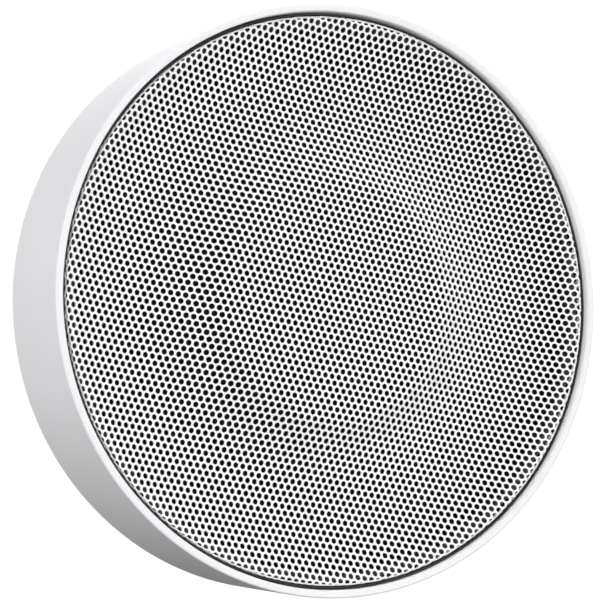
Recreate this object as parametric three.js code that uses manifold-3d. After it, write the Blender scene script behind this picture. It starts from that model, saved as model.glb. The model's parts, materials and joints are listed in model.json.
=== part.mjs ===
// A round smart speaker that hangs flat on a wall: a low white drum with a dished perforated grille.
// It pulls straight off a steel plate that stays on the wall, where four magnets hold it.
// Millimetres, +Z up. The drum's axis is Y, the grille faces -Y, and the wall is the plane y = 0.
import * as THREE from "three";
import { mergeVertices } from "three/addons/utils/BufferGeometryUtils.js";
import Module from "manifold-3d";

const wasm = await Module();
wasm.setup();

// Drum
const drumRadius = 60;
const drumDepth = 28.5; // rim to back edge
const drumWall = 1.6;
const rimChamfer = 0.3;
const backChamfer = 0.8;
const wallGap = 0.5; // back edge to the wall

// Fits
const seat = 0.1; // between pieces that bear on each other
const slip = 0.3; // round a piece that slips into another
const shake = 0.6; // round a plug, boss or socket that only passes through

// Grille: a thin sheet with a flat centre disc, a ring-shaped trough and an edge folded back
const grilleGap = 0.8; // slot between the sheet's edge and the drum
const grilleSheet = 0.3;
const discSink = 1.6; // rim plane to the centre disc
const troughRadius = 40;
const troughDepth = 3.2;
const troughCurve = 36; // radius of the trough's section on its inner side
const edgeRise = 0.8; // the sheet's edge in front of the centre disc
const shoulderBlend = 0.45; // softens the corner between the disc and the trough
const foldRadius = 0.6;
const foldDepth = 1.7; // straight part of the folded edge
const shoulderRings = [22, 25, 28, 33];

// Front stack, from the grille inwards
const clothGap = 0.5;
const clothThickness = 0.4;
const baffleThickness = 2;
const baffleLipWall = 1.6;
const baffleLipReach = 0.9; // how far the lip goes into the folded edge
const baffleSkirtWall = 0.3; // lines the drum round the grille's edge
const baffleSkirtDrop = 1.3; // from the drum's rim
const baffleOpening = 22.6;
const sealThickness = 0.8;
const sealWidth = 1.8;
const shelfWidth = 2.4;
const shelfThickness = 2;

// Back stack, from the wall outwards
const padRadius = 30;
const padThickness = 1;
const plateRadius = 33;
const plateThickness = 1.2;
const plateHoleRadius = 2.2;
const plateHoleSpacing = 36;
const countersink = 1;
const gripThickness = 0.8;
const gripInnerRadius = 30;
const gripOuterRadius = 33.5;
const plateRoom = 2; // recess wall to plate edge
const coverSink = 0.6; // cover face behind the drum's back edge
const coverThickness = 2;
const recessFloor = 1.8;
const ledgeWidth = 1.4;
const ledgeThickness = 1.2;

// Holding magnets
const magnetRadius = 5;
const magnetThickness = 2.5;
const magnetSkin = 0.8; // plastic left under a magnet
const magnetWall = 1.4;
const magnetCircle = 24;
const magnetAngles = [45, 135, 225, 315];

// Case screws and the posts that they go into
const screwCircle = 49;
const screwAngles = [45, 135, 225, 315];
const screwShaft = 1.2;
const screwLength = 9;
const screwHead = 2.6;
const screwHeadHeight = 1.1;
const postRadius = 3;

// Driver, measured back from the front face of its flange
const flangeRadius = 29.5;
const flangeThickness = 1;
const flangeBore = 21.6;
const basketBase = 6.5;
const basketBaseRadius = 18.2;
const basketSheet = 0.8;
const basketWindow = { width: 13, from: 2, to: 5.4 };
const gasketThickness = 0.6;
const gasketInner = 23.4;
const gasketOuter = 26;
const lipOuter = 23.1;
const rollRadius = 1.6;
const rollSheet = 0.5;
const coneRadius = 18.6;
const coneSheet = 0.5;
const coneLip = 1.4;
const coneDrop = 4.4;
const capRadius = 9.6;
const capHeight = 2.4;
const capSheet = 0.4;
const coilInner = 7.5;
const coilFormer = 0.3;
const coilWinding = 0.6;
const coilLength = 6.6;
const windingLength = 3.3;
const coilGap = 0.4; // winding to top plate
const topPlateRadius = 15.6;
const topPlateThickness = 1.8;
const driverMagnetThickness = 2.6;
const driverMagnetInner = 9.6;
const yokeThickness = 1.8;
const poleRadius = 7.2;
const spiderSheet = 0.4;
const spiderWave = 0.4;
const spiderLip = 1.3;
const driverScrewCircle = 27.4;
const driverScrewShaft = 0.9;
const driverScrewHead = 1.9;
const driverScrewHeadHeight = 1.2;
const driverScrewBite = 1.2;

// Main board: the lower part of a ring round the driver
const boardInner = 23;
const boardThickness = 1.2;
const boardDepth = 19; // rim plane to its front face
const boardEdgeGap = 2.9; // board edge to the inside of the drum
const boardFrom = 192;
const boardTo = 348;
const boardScrewCircle = 42;
const boardScrewAngles = [202, 284, 334];
const boardScrewShaft = 0.9;
const boardScrewHead = 1.9;
const boardScrewHeadHeight = 1;
const boardScrewLength = 4;
const standoffRadius = 2.5;

// Power socket, button and slide switch in the drum's wall, by angle from +X towards +Z
const socket = { angle: 270, width: 9, height: 3.2, wall: 0.3, length: 7.3, sink: 0.6 };
const tongue = { width: 6.7, height: 0.7, length: 5 };
const button = { angle: 295, radius: 3, sink: 0.2, flange: 0.8, flangeThickness: 0.7, travel: 0.5 };
const pushSwitch = { width: 6, height: 3.4, depth: 3.6, plunger: 1.2 };
const slider = { angle: 338, length: 4, height: 2.2, proud: 0.15, travel: 2.5 };
const sliderSkirt = { reach: 1.6, thickness: 0.8 };
const sliderGroove = { width: 0.35, depth: 0.25, spacing: 0.8 };
const slideSwitch = { width: 9, height: 3.4, depth: 3.6 };

// Microphones and status light behind the grille
const micCircle = 43;
const micAngles = { right: 60, left: 120 };
const micPort = 0.6;
const micBoot = { radius: 3.2, thickness: 1 };
const micBoard = { width: 8, thickness: 0.8, can: 3, canHeight: 1 };
const micCableRadius = 0.8;
const lightCircle = 50;
const lightGuide = { radius: 1.3, length: 3.1 };
const lightBoard = { width: 7, height: 5, thickness: 0.8, lamp: 2, lampHeight: 0.7 };

// Parts on the board's front
const shieldCan = { x: -30, z: -23, width: 12, length: 11, height: 2.2 };
const amplifier = { x: 0, z: -47.5, width: 7, length: 7, height: 0.9 };
const choke = { x: -13, z: -47, width: 6, length: 6, height: 2.6 };
const capacitors = [
  { x: 12.5, z: -30, radius: 2.6, height: 4 },
  { x: 19, z: -27, radius: 2.6, height: 4 },
];
const connector = { x: 0, z: -37, width: 7, length: 4, height: 2.4 };
const terminal = { z: -26.6, width: 9, length: 3, height: 1.2 };
const leadRadius = 0.6;
const leadSpacing = 1.9;

const antenna = { from: 150, to: 205, thickness: 0.3, height: 8 };

const wideSegments = 48;
const driverSegments = 24;
const smallSegments = 12;

// Derived places
const drumBore = drumRadius - drumWall;
const backEdge = -wallGap;
const rimPlane = backEdge - drumDepth;
const behindRim = (depth) => rimPlane + depth;
const grilleRadius = drumBore - grilleGap;
const foldCentre = grilleRadius - foldRadius;
const outerCurve = (foldCentre - troughRadius) ** 2 / (2 * (troughDepth + edgeRise));
const foldSlope = Math.atan((foldCentre - troughRadius) / outerCurve);
const foldStart = foldCentre - foldRadius * Math.sin(foldSlope);
const clothFront = discSink + troughDepth + grilleSheet + clothGap;
const baffleFront = clothFront + clothThickness + seat;
const baffleBack = baffleFront + baffleThickness;
const sealFront = baffleBack + seat;
const shelfFront = sealFront + sealThickness + seat;
const flangeFront = baffleBack + gasketThickness + 2 * seat;
const plateBack = -(padThickness + seat);
const gripBack = plateBack - plateThickness - seat;
const recessFace = gripBack - gripThickness - seat;
const recessInside = recessFace - recessFloor;
const recessRadius = plateRadius + plateRoom;
const coverFace = backEdge - coverSink;
const coverInside = coverFace - coverThickness;
const ledgeBack = coverInside - seat;
const boardFront = behindRim(boardDepth);
const boardBack = boardFront + boardThickness;
const boardOuter = drumBore - boardEdgeGap;
const boardFace = boardFront - seat; // where parts on the board's front stand
const controlPlane = boardFace - pushSwitch.height / 2;
const socketPlane = boardBack + seat + socket.height / 2;

const finishes = {
  whiteShell: { color: 0xe9e9ea, roughness: 0.42, metalness: 0 },
  grillePaint: { color: 0xf2f2f2, roughness: 0.45, metalness: 0.1 },
  blackCloth: { color: 0x0b0b0c, roughness: 0.95, metalness: 0 },
  blackPlastic: { color: 0x17181a, roughness: 0.6, metalness: 0 },
  blackRubber: { color: 0x1a1a1b, roughness: 0.85, metalness: 0 },
  greyRubber: { color: 0x8d9094, roughness: 0.8, metalness: 0 },
  foam: { color: 0x2c2d2f, roughness: 0.95, metalness: 0 },
  steel: { color: 0xb9bcc0, roughness: 0.35, metalness: 1 },
  blackSteel: { color: 0x202225, roughness: 0.5, metalness: 0.3 },
  nickel: { color: 0xc9cacc, roughness: 0.2, metalness: 1 },
  copper: { color: 0xb8703f, roughness: 0.35, metalness: 1 },
  spiderCloth: { color: 0xb98d4e, roughness: 0.9, metalness: 0 },
  board: { color: 0x14402a, roughness: 0.4, metalness: 0 },
  clear: { color: 0xeef2f5, roughness: 0.15, metalness: 0 },
  creamPlastic: { color: 0xd8d2c0, roughness: 0.5, metalness: 0 },
  redWire: { color: 0xa52320, roughness: 0.5, metalness: 0 },
  blackWire: { color: 0x151516, roughness: 0.5, metalness: 0 },
};

// Shapes

const radians = THREE.MathUtils.degToRad;

// The point at a radius and an angle on a circle round the drum's axis, as [x, z].
function onCircle(radius, degrees) {
  return [radius * Math.cos(radians(degrees)), radius * Math.sin(radians(degrees))];
}

// A solid turned about Y from a closed outline of [radius, y] points; on the axis it starts and ends there.
function turned(outline, segments = wideSegments) {
  const points = outline.map(([radius, y]) => new THREE.Vector2(radius, y));
  if (THREE.ShapeUtils.area(points) < 0) points.reverse();
  if (points[0].x > 0) points.push(points[0].clone());
  return new THREE.LatheGeometry(points, segments);
}

function ring(inner, outer, from, to, segments = wideSegments) {
  return turned([[inner, from], [outer, from], [outer, to], [inner, to]], segments);
}

function disc(radius, from, to, segments = wideSegments) {
  return turned([[0, from], [radius, from], [radius, to], [0, to]], segments);
}

// A round bar parallel to Y at [x, z].
function bar(radius, from, to, [x, z], segments = smallSegments) {
  return disc(radius, from, to, segments).translate(x, 0, z);
}

function block(width, height, length) {
  return new THREE.BoxGeometry(width, height, length);
}

// A flat outline drawn in x and z, given a thickness from y = back towards -Y.
function slab(outline, back, thickness, curveSegments = smallSegments) {
  const options = { depth: thickness, bevelEnabled: false, curveSegments };
  return new THREE.ExtrudeGeometry(outline, options).rotateX(Math.PI / 2).translate(0, back, 0);
}

function roundHole([x, z], radius) {
  const hole = new THREE.Path();
  hole.absarc(x, z, radius, 0, 2 * Math.PI, true);
  return hole;
}

function ringSector(inner, outer, from, to) {
  const outline = new THREE.Shape();
  outline.absarc(0, 0, outer, radians(from), radians(to), false);
  outline.absarc(0, 0, inner, radians(to), radians(from), true);
  return outline;
}

// A bar along +X from one distance to another, with straight sides and round ends across local Z.
function pill(length, height, from, to) {
  const straight = Math.max(length - height, 0.01) / 2;
  const outline = new THREE.Shape();
  outline.absarc(straight, 0, height / 2, -Math.PI / 2, Math.PI / 2, false);
  outline.absarc(-straight, 0, height / 2, Math.PI / 2, 1.5 * Math.PI, false);
  const options = { depth: to - from, bevelEnabled: false, curveSegments: 8 };
  return new THREE.ExtrudeGeometry(outline, options).rotateY(Math.PI / 2).translate(from, 0, 0);
}

// A round bar along +X.
function peg(radius, from, to) {
  const round = new THREE.CylinderGeometry(radius, radius, to - from, smallSegments);
  return round.rotateZ(-Math.PI / 2).translate((from + to) / 2, 0, 0);
}

// A round cable along a smooth curve through the points.
function cable(points, radius, steps) {
  const outline = new THREE.Shape();
  outline.absarc(0, 0, radius, 0, 2 * Math.PI, false);
  const route = new THREE.CatmullRomCurve3(points.map((point) => new THREE.Vector3(...point)));
  const options = { extrudePath: route, steps, curveSegments: 4, bevelEnabled: false };
  return new THREE.ExtrudeGeometry(outline, options);
}

// Booleans

function toSolid(geometry) {
  const bare = geometry.clone();
  bare.deleteAttribute("normal");
  bare.deleteAttribute("uv");
  const merged = mergeVertices(bare, 1e-4);
  const mesh = new wasm.Mesh({
    numProp: 3,
    vertProperties: merged.attributes.position.array,
    triVerts: new Uint32Array(merged.index.array),
  });
  return new wasm.Manifold(mesh);
}

function toGeometry(solid) {
  const { vertProperties, triVerts } = solid.getMesh();
  const geometry = new THREE.BufferGeometry();
  geometry.setAttribute("position", new THREE.BufferAttribute(vertProperties, 3));
  geometry.setIndex(new THREE.BufferAttribute(triVerts, 1));
  geometry.computeVertexNormals();
  return geometry;
}

function cut(body, tools) {
  return toGeometry(tools.reduce((solid, tool) => solid.subtract(toSolid(tool)), toSolid(body)));
}

function join(body, additions) {
  return toGeometry(additions.reduce((solid, addition) => solid.add(toSolid(addition)), toSolid(body)));
}

// Assembly

function add(parent, name, geometry, finish) {
  const mesh = new THREE.Mesh(geometry, new THREE.MeshStandardMaterial(finishes[finish]));
  mesh.name = name;
  parent.add(mesh);
  return mesh;
}

// A group whose local +X points outwards at an angle round the drum, at a given y.
function port(angle, y) {
  const group = new THREE.Group();
  group.position.y = y;
  group.rotation.y = -radians(angle);
  return group;
}

// A tool shaped in a port's frame, moved to the drum's frame.
function atPort(geometry, angle, y) {
  const group = port(angle, y);
  group.updateMatrix();
  return geometry.applyMatrix4(group.matrix);
}

// A screw whose head's top is at y = 0 and whose shaft points along the sign of direction.
function screw(head, headHeight, shaft, length, direction) {
  const outline = [
    [0, 0],
    [head - 0.3, 0],
    [head, 0.3],
    [head, headHeight],
    [shaft, headHeight],
    [shaft, length + headHeight],
    [0, length + headHeight],
  ];
  return turned(outline.map(([radius, y]) => [radius, direction * y]), smallSegments);
}

const speaker = new THREE.Group();

// Wall side

function addWallMount() {
  const holes = [-plateHoleSpacing / 2, plateHoleSpacing / 2].map((x) => [x, 0]);
  const padHole = plateHoleRadius + countersink;
  const padTools = holes.map((hole) => bar(padHole, -2 * padThickness, padThickness, hole));
  add(speaker, "adhesive_pad", cut(disc(padRadius, -padThickness, 0), padTools), "foam");
  const plateFront = plateBack - plateThickness;
  const plate = turned([
    [0, plateFront],
    [plateRadius - 0.4, plateFront],
    [plateRadius, plateFront + 0.4],
    [plateRadius, plateBack],
    [0, plateBack],
  ]);
  const plateTools = holes.map(([x, z]) => {
    const outline = [
      [0, plateFront - 1],
      [padHole, plateFront - 1],
      [padHole, plateFront],
      [plateHoleRadius, plateFront + countersink],
      [plateHoleRadius, plateBack + 1],
      [0, plateBack + 1],
    ];
    return turned(outline, smallSegments).translate(x, 0, z);
  });
  add(speaker, "wall_plate", cut(plate, plateTools), "steel");
}

// Shells

function housing() {
  const shelfBack = behindRim(shelfFront + shelfThickness);
  const ledgeFront = ledgeBack - ledgeThickness;
  const shell = turned([
    [drumBore, rimPlane + rimChamfer],
    [drumBore + rimChamfer, rimPlane],
    [drumRadius - rimChamfer, rimPlane],
    [drumRadius, rimPlane + rimChamfer],
    [drumRadius, backEdge - backChamfer],
    [drumRadius - backChamfer, backEdge],
    [drumBore, backEdge],
    [drumBore, ledgeBack],
    [drumBore - ledgeWidth, ledgeBack],
    [drumBore - ledgeWidth, ledgeFront],
    [drumBore, ledgeFront - ledgeWidth],
    [drumBore, shelfBack],
    [drumBore - shelfWidth, shelfBack],
    [drumBore - shelfWidth, behindRim(shelfFront)],
    [drumBore, behindRim(shelfFront)],
  ]);
  const inside = drumBore - 2 * ledgeWidth;
  const outside = drumRadius + 1;
  const socketSlot = pill(socket.width + shake, socket.height + shake, inside, outside);
  const buttonHole = peg(button.radius + slip, inside, outside);
  const sliderLength = slider.length + slider.travel + 2 * slip;
  const sliderSlot = pill(sliderLength, slider.height + 2 * slip, inside, outside);
  return cut(shell, [
    atPort(socketSlot, socket.angle, socketPlane),
    atPort(buttonHole, button.angle, controlPlane),
    atPort(sliderSlot, slider.angle, controlPlane),
  ]);
}

function backCover() {
  const edge = drumBore - slip;
  const wallFront = recessRadius + coverThickness;
  const shell = turned([
    [0, recessInside],
    [wallFront, recessInside],
    [wallFront, coverInside],
    [edge, coverInside],
    [edge, coverFace],
    [recessRadius, coverFace],
    [recessRadius, recessFace],
    [0, recessFace],
  ]);
  const pocketBottom = recessFace - magnetSkin;
  const pocketTop = pocketBottom - magnetThickness - slip;
  const pocketRadius = magnetRadius + slip;
  const cups = magnetAngles.map((angle) => {
    return bar(pocketRadius + magnetWall, pocketTop, recessInside + 0.5, onCircle(magnetCircle, angle));
  });
  const standoffs = boardScrewAngles.map((angle) => {
    return bar(standoffRadius, boardBack + seat, coverInside + 0.5, onCircle(boardScrewCircle, angle));
  });
  const pockets = magnetAngles.map((angle) => {
    return bar(pocketRadius, pocketTop - 1, pocketBottom, onCircle(magnetCircle, angle));
  });
  const pilots = boardScrewAngles.map((angle) => {
    const place = onCircle(boardScrewCircle, angle);
    return bar(boardScrewShaft + seat, boardBack - 1, boardBack + boardScrewLength, place);
  });
  const screwHoles = screwAngles.flatMap((angle) => {
    const place = onCircle(screwCircle, angle);
    return [
      bar(screwShaft + slip, coverInside - 1, coverFace + 1, place),
      bar(screwHead + slip, coverFace - screwHeadHeight - seat, coverFace + 1, place),
    ];
  });
  return cut(join(shell, [...cups, ...standoffs]), [...pockets, ...pilots, ...screwHoles]);
}

function addCaseScrews() {
  screwAngles.forEach((angle, index) => {
    const [x, z] = onCircle(screwCircle, angle);
    const geometry = screw(screwHead, screwHeadHeight, screwShaft, screwLength, -1);
    add(speaker, `case_screw_${index + 1}`, geometry, "steel").position.set(x, coverFace, z);
  });
}

function addHoldingMagnets() {
  const back = recessFace - magnetSkin - seat;
  magnetAngles.forEach((angle, index) => {
    const geometry = bar(magnetRadius, back - magnetThickness, back, onCircle(magnetCircle, angle));
    add(speaker, `hold_magnet_${index + 1}`, geometry, "nickel");
  });
  const grip = ring(gripInnerRadius, gripOuterRadius, gripBack - gripThickness, gripBack);
  add(speaker, "grip_ring", grip, "greyRubber");
}

// Front

// Height of the grille's face over its centre disc, towards the room: a trough round the axis, parabolic on
// each side, whose inner side runs into the flat disc along a hyperbola.
function grilleHeight(radius) {
  const across = (radius - troughRadius) ** 2 / 2;
  if (radius > troughRadius) return across / outerCurve - troughDepth;
  const trough = across / troughCurve - troughDepth;
  const level = Math.hypot(troughDepth, shoulderBlend) - troughDepth;
  return (trough - Math.hypot(trough, shoulderBlend) + level) / 2;
}

const grilleFace = (radius) => behindRim(discSink) - grilleHeight(radius);
const foldAxis = grilleFace(foldStart) + foldRadius * Math.cos(foldSlope);
const sheetEdge = foldAxis + foldDepth;

function grille() {
  const outerRings = [0, 1 / 3, 2 / 3, 1].map((share) => troughRadius + share * (foldStart - troughRadius));
  const rings = [0, ...shoulderRings, ...outerRings];
  const outside = rings.map((radius) => [radius, grilleFace(radius)]);
  const bend = [Math.PI / 2, Math.PI / 4, 0];
  const foldAt = (bendRadius) => (angle) => [
    foldCentre + bendRadius * Math.cos(angle),
    foldAxis - bendRadius * Math.sin(angle),
  ];
  const inside = rings.slice(0, -1).map((radius) => [radius, grilleFace(radius) + grilleSheet]);
  return turned([
    ...outside,
    ...bend.map(foldAt(foldRadius)),
    [grilleRadius, sheetEdge],
    [grilleRadius - grilleSheet, sheetEdge],
    ...bend.map(foldAt(foldRadius - grilleSheet)).reverse(),
    ...inside.reverse(),
  ]);
}

function baffle() {
  const front = behindRim(baffleFront);
  const back = behindRim(baffleBack);
  const edge = drumBore - slip;
  const lipOutside = grilleRadius - grilleSheet - slip;
  const lipFront = sheetEdge - baffleLipReach;
  const skirtFront = behindRim(baffleSkirtDrop);
  const plate = turned([
    [baffleOpening, front + 0.6],
    [baffleOpening + 0.6, front],
    [lipOutside - baffleLipWall, front],
    [lipOutside - baffleLipWall, lipFront],
    [lipOutside, lipFront],
    [lipOutside, front],
    [edge - baffleSkirtWall, front],
    [edge - baffleSkirtWall, skirtFront],
    [edge, skirtFront],
    [edge, back],
    [baffleOpening, back],
  ]);
  const posts = screwAngles.map((angle) => {
    return bar(postRadius, back - 0.5, coverInside - seat, onCircle(screwCircle, angle));
  });
  const pilots = screwAngles.map((angle) => {
    return bar(screwShaft + seat, coverInside - screwLength, coverInside + 1, onCircle(screwCircle, angle));
  });
  const driverPilots = screwAngles.map((angle) => {
    const place = onCircle(driverScrewCircle, angle);
    return bar(driverScrewShaft + seat, back - driverScrewBite - slip, back + 1, place);
  });
  const ports = Object.values(micAngles).map((angle) => {
    return bar(micPort, front - 1, back + 1, onCircle(micCircle, angle));
  });
  const lightHole = bar(lightGuide.radius + slip, front - 1, back + 1, onCircle(lightCircle, 90));
  return cut(join(plate, posts), [...pilots, ...driverPilots, ...ports, lightHole]);
}

function addFront() {
  add(speaker, "grille", grille(), "grillePaint");
  const clothRadius = grilleRadius - grilleSheet - slip - baffleLipWall - slip;
  const clothBack = behindRim(clothFront + clothThickness);
  add(speaker, "acoustic_cloth", disc(clothRadius, behindRim(clothFront), clothBack), "blackCloth");
  add(speaker, "baffle", baffle(), "blackPlastic");
  const sealOuter = drumBore - slip;
  const sealBack = behindRim(sealFront + sealThickness);
  const seal = ring(sealOuter - sealWidth, sealOuter, behindRim(sealFront), sealBack);
  add(speaker, "seal_ring", seal, "foam");
}

// Driver, in its own frame: y = 0 is the front face of the flange, and +Y runs back into the drum

function basket() {
  const baseBack = basketBase + basketSheet;
  const baseBore = driverMagnetInner;
  const shell = turned([
    [flangeBore, 0],
    [flangeRadius, 0],
    [flangeRadius, flangeThickness],
    [flangeBore + flangeThickness, flangeThickness],
    [basketBaseRadius, baseBack],
    [baseBore, baseBack],
    [baseBore, basketBase],
    [basketBaseRadius - basketSheet, basketBase],
    [flangeBore, flangeThickness / 2],
  ], driverSegments);
  const tall = basketWindow.to - basketWindow.from;
  const windows = [0, 90, 180, 270].map((angle) => {
    const tool = block(flangeRadius, tall, basketWindow.width);
    return tool.translate(flangeRadius, basketWindow.from + tall / 2, 0).rotateY(radians(angle));
  });
  const holes = screwAngles.map((angle) => {
    return bar(driverScrewShaft + slip, -1, flangeThickness + 1, onCircle(driverScrewCircle, angle));
  });
  return cut(shell, [...windows, ...holes]);
}

// A half roll between two flat lips, the outer on the flange and the inner on the cone's rim.
function surround() {
  const lipBack = -seat;
  const lipFront = lipBack - rollSheet;
  const rollCentre = coneRadius + rollRadius + seat;
  const arc = (radius, steps) => Array.from({ length: steps + 1 }, (_, step) => {
    const angle = (Math.PI * step) / steps;
    return [rollCentre + radius * Math.cos(angle), lipFront + rollSheet - radius * Math.sin(angle)];
  });
  return turned([
    [lipOuter, lipBack],
    [lipOuter, lipFront],
    ...arc(rollRadius, 6).filter(([, y]) => y < lipFront),
    [coneRadius - coneLip, lipFront],
    [coneRadius - coneLip, lipBack],
    ...arc(rollRadius - rollSheet, 6).reverse(),
  ], driverSegments);
}

function addMovingCoil(driver) {
  const neck = coilInner + coilFormer + slip;
  const lipRadius = coneRadius - coneLip;
  const lipFront = 0;
  const cone = turned([
    [lipRadius, lipFront],
    [coneRadius, lipFront],
    [coneRadius, lipFront + coneSheet],
    [lipRadius, lipFront + coneSheet],
    [neck, coneDrop + coneSheet],
    [neck, coneDrop],
  ], driverSegments);
  add(driver, "cone", cone, "blackPlastic");
  const coneAtCap = (coneDrop * (lipRadius - capRadius)) / (lipRadius - neck);
  const capEdge = coneAtCap - slip - capSheet;
  const dome = (radius, sink) => [radius, capEdge + sink - capHeight * (1 - (radius / capRadius) ** 2)];
  const domeRings = [0, 0.35, 0.7, 1].map((share) => share * capRadius);
  const cap = turned([
    ...domeRings.map((radius) => dome(radius, 0)),
    ...domeRings.map((radius) => dome(radius, capSheet)).reverse(),
  ], driverSegments);
  add(driver, "dust_cap", cap, "blackPlastic");
  const coilFront = coneDrop - slip;
  const coilBack = coilFront + coilLength;
  const coil = turned([
    [coilInner, coilFront],
    [coilInner + coilFormer, coilFront],
    [coilInner + coilFormer, coilBack - windingLength],
    [coilInner + coilFormer + coilWinding, coilBack - windingLength],
    [coilInner + coilFormer + coilWinding, coilBack],
    [coilInner, coilBack],
  ], driverSegments);
  add(driver, "voice_coil", coil, "copper");
}

function spider() {
  const inner = coilInner + coilFormer + slip;
  const outer = basketBaseRadius - basketSheet - slip;
  const waves = outer - spiderLip;
  const middle = basketBase - seat - spiderSheet / 2;
  const steps = 8;
  const wave = (sink) => Array.from({ length: steps + 1 }, (_, step) => {
    const lift = step % 2 ? spiderWave : 0;
    return [inner + ((waves - inner) * step) / steps, middle + sink - lift];
  });
  const half = spiderSheet / 2;
  return turned([
    ...wave(-half),
    [outer, middle - half],
    [outer, middle + half],
    ...wave(half).reverse(),
  ], driverSegments);
}

function addMotor(driver) {
  const topPlateFront = basketBase + basketSheet + seat;
  const magnetFront = topPlateFront + topPlateThickness + seat;
  const yokeFront = magnetFront + driverMagnetThickness + seat;
  const plateBore = coilInner + coilFormer + coilWinding + coilGap;
  const topPlateBack = topPlateFront + topPlateThickness;
  const topPlate = ring(plateBore, topPlateRadius, topPlateFront, topPlateBack, driverSegments);
  add(driver, "top_plate", topPlate, "steel");
  const magnetBack = magnetFront + driverMagnetThickness;
  const magnet = ring(driverMagnetInner, topPlateRadius - slip, magnetFront, magnetBack, driverSegments);
  add(driver, "driver_magnet", magnet, "nickel");
  const yoke = turned([
    [0, topPlateFront],
    [poleRadius, topPlateFront],
    [poleRadius, yokeFront],
    [topPlateRadius, yokeFront],
    [topPlateRadius, yokeFront + yokeThickness],
    [0, yokeFront + yokeThickness],
  ], driverSegments);
  add(driver, "yoke", yoke, "steel");
}

function addDriver() {
  const driver = new THREE.Group();
  driver.position.y = behindRim(flangeFront);
  speaker.add(driver);
  const gasket = ring(gasketInner, gasketOuter, -seat - gasketThickness, -seat, driverSegments);
  add(driver, "driver_gasket", gasket, "foam");
  add(driver, "basket", basket(), "blackSteel");
  add(driver, "surround", surround(), "blackRubber");
  add(driver, "spider", spider(), "spiderCloth");
  addMovingCoil(driver);
  addMotor(driver);
  const headTop = flangeThickness + seat + driverScrewHeadHeight;
  const shaftLength = flangeThickness + gasketThickness + 3 * seat + driverScrewBite;
  screwAngles.forEach((angle, index) => {
    const [x, z] = onCircle(driverScrewCircle, angle);
    const geometry = screw(driverScrewHead, driverScrewHeadHeight, driverScrewShaft, shaftLength, -1);
    add(driver, `driver_screw_${index + 1}`, geometry, "steel").position.set(x, headTop, z);
  });
  const strip = block(terminal.width, terminal.height, terminal.length);
  const stripPlace = flangeThickness + seat + terminal.height / 2;
  add(driver, "driver_terminal", strip, "creamPlastic").position.set(0, stripPlace, terminal.z);
}

// Electronics

function addBoard() {
  const outline = ringSector(boardInner, boardOuter, boardFrom, boardTo);
  const postHoles = screwAngles.filter((angle) => angle > boardFrom && angle < boardTo);
  const postHole = postRadius + shake;
  outline.holes.push(...postHoles.map((angle) => roundHole(onCircle(screwCircle, angle), postHole)));
  const screwHole = boardScrewShaft + slip;
  const screwPlaces = boardScrewAngles.map((angle) => onCircle(boardScrewCircle, angle));
  outline.holes.push(...screwPlaces.map((place) => roundHole(place, screwHole)));
  add(speaker, "main_board", slab(outline, boardBack, boardThickness), "board");
  screwPlaces.forEach(([x, z], index) => {
    const length = boardThickness + boardScrewLength - 2 * seat;
    const geometry = screw(boardScrewHead, boardScrewHeadHeight, boardScrewShaft, length, 1);
    const headTop = boardFace - boardScrewHeadHeight;
    add(speaker, `board_screw_${index + 1}`, geometry, "steel").position.set(x, headTop, z);
  });
  const flatParts = {
    shield_can: [shieldCan, "steel"],
    amplifier: [amplifier, "blackPlastic"],
    choke: [choke, "foam"],
  };
  for (const [name, [part, finish]] of Object.entries(flatParts)) {
    const geometry = block(part.width, part.height, part.length);
    add(speaker, name, geometry, finish).position.set(part.x, boardFace - part.height / 2, part.z);
  }
  capacitors.forEach((part, index) => {
    const geometry = bar(part.radius, boardFace - part.height, boardFace, [part.x, part.z]);
    add(speaker, `capacitor_${index + 1}`, geometry, "nickel");
  });
  const plug = block(connector.width, connector.height, connector.length);
  const plugPlace = boardFace - connector.height / 2;
  add(speaker, "speaker_plug", plug, "creamPlastic").position.set(connector.x, plugPlace, connector.z);
}

function addSpeakerLeads() {
  const stripBack = behindRim(flangeFront) + flangeThickness + seat + terminal.height;
  const start = [stripBack + slip + leadRadius, terminal.z - terminal.length / 3];
  const end = [boardFace - connector.height - slip - leadRadius, connector.z];
  const leads = { speaker_lead_red: -leadSpacing, speaker_lead_black: leadSpacing };
  for (const [name, x] of Object.entries(leads)) {
    const points = [
      [1.2 * x, ...start],
      [1.4 * x, start[0] + 0.6, (2 * start[1] + end[1]) / 3],
      [1.2 * x, end[0] - 2, end[1] + 0.8],
      [x, ...end],
    ];
    add(speaker, name, cable(points, leadRadius, 12), x < 0 ? "redWire" : "blackWire");
  }
}

function addPowerSocket() {
  const group = port(socket.angle, socketPlane);
  speaker.add(group);
  const mouth = drumRadius - socket.sink;
  const back = mouth - socket.length;
  const shell = pill(socket.width, socket.height, back, mouth);
  const bore = pill(socket.width - 2 * socket.wall, socket.height - 2 * socket.wall, back + 1, mouth + 1);
  const blade = block(tongue.length + 1, tongue.height, tongue.width);
  blade.translate(back + (tongue.length + 1) / 2, 0, 0);
  add(group, "power_socket", join(cut(shell, [bore]), [blade]), "steel");
}

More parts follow.
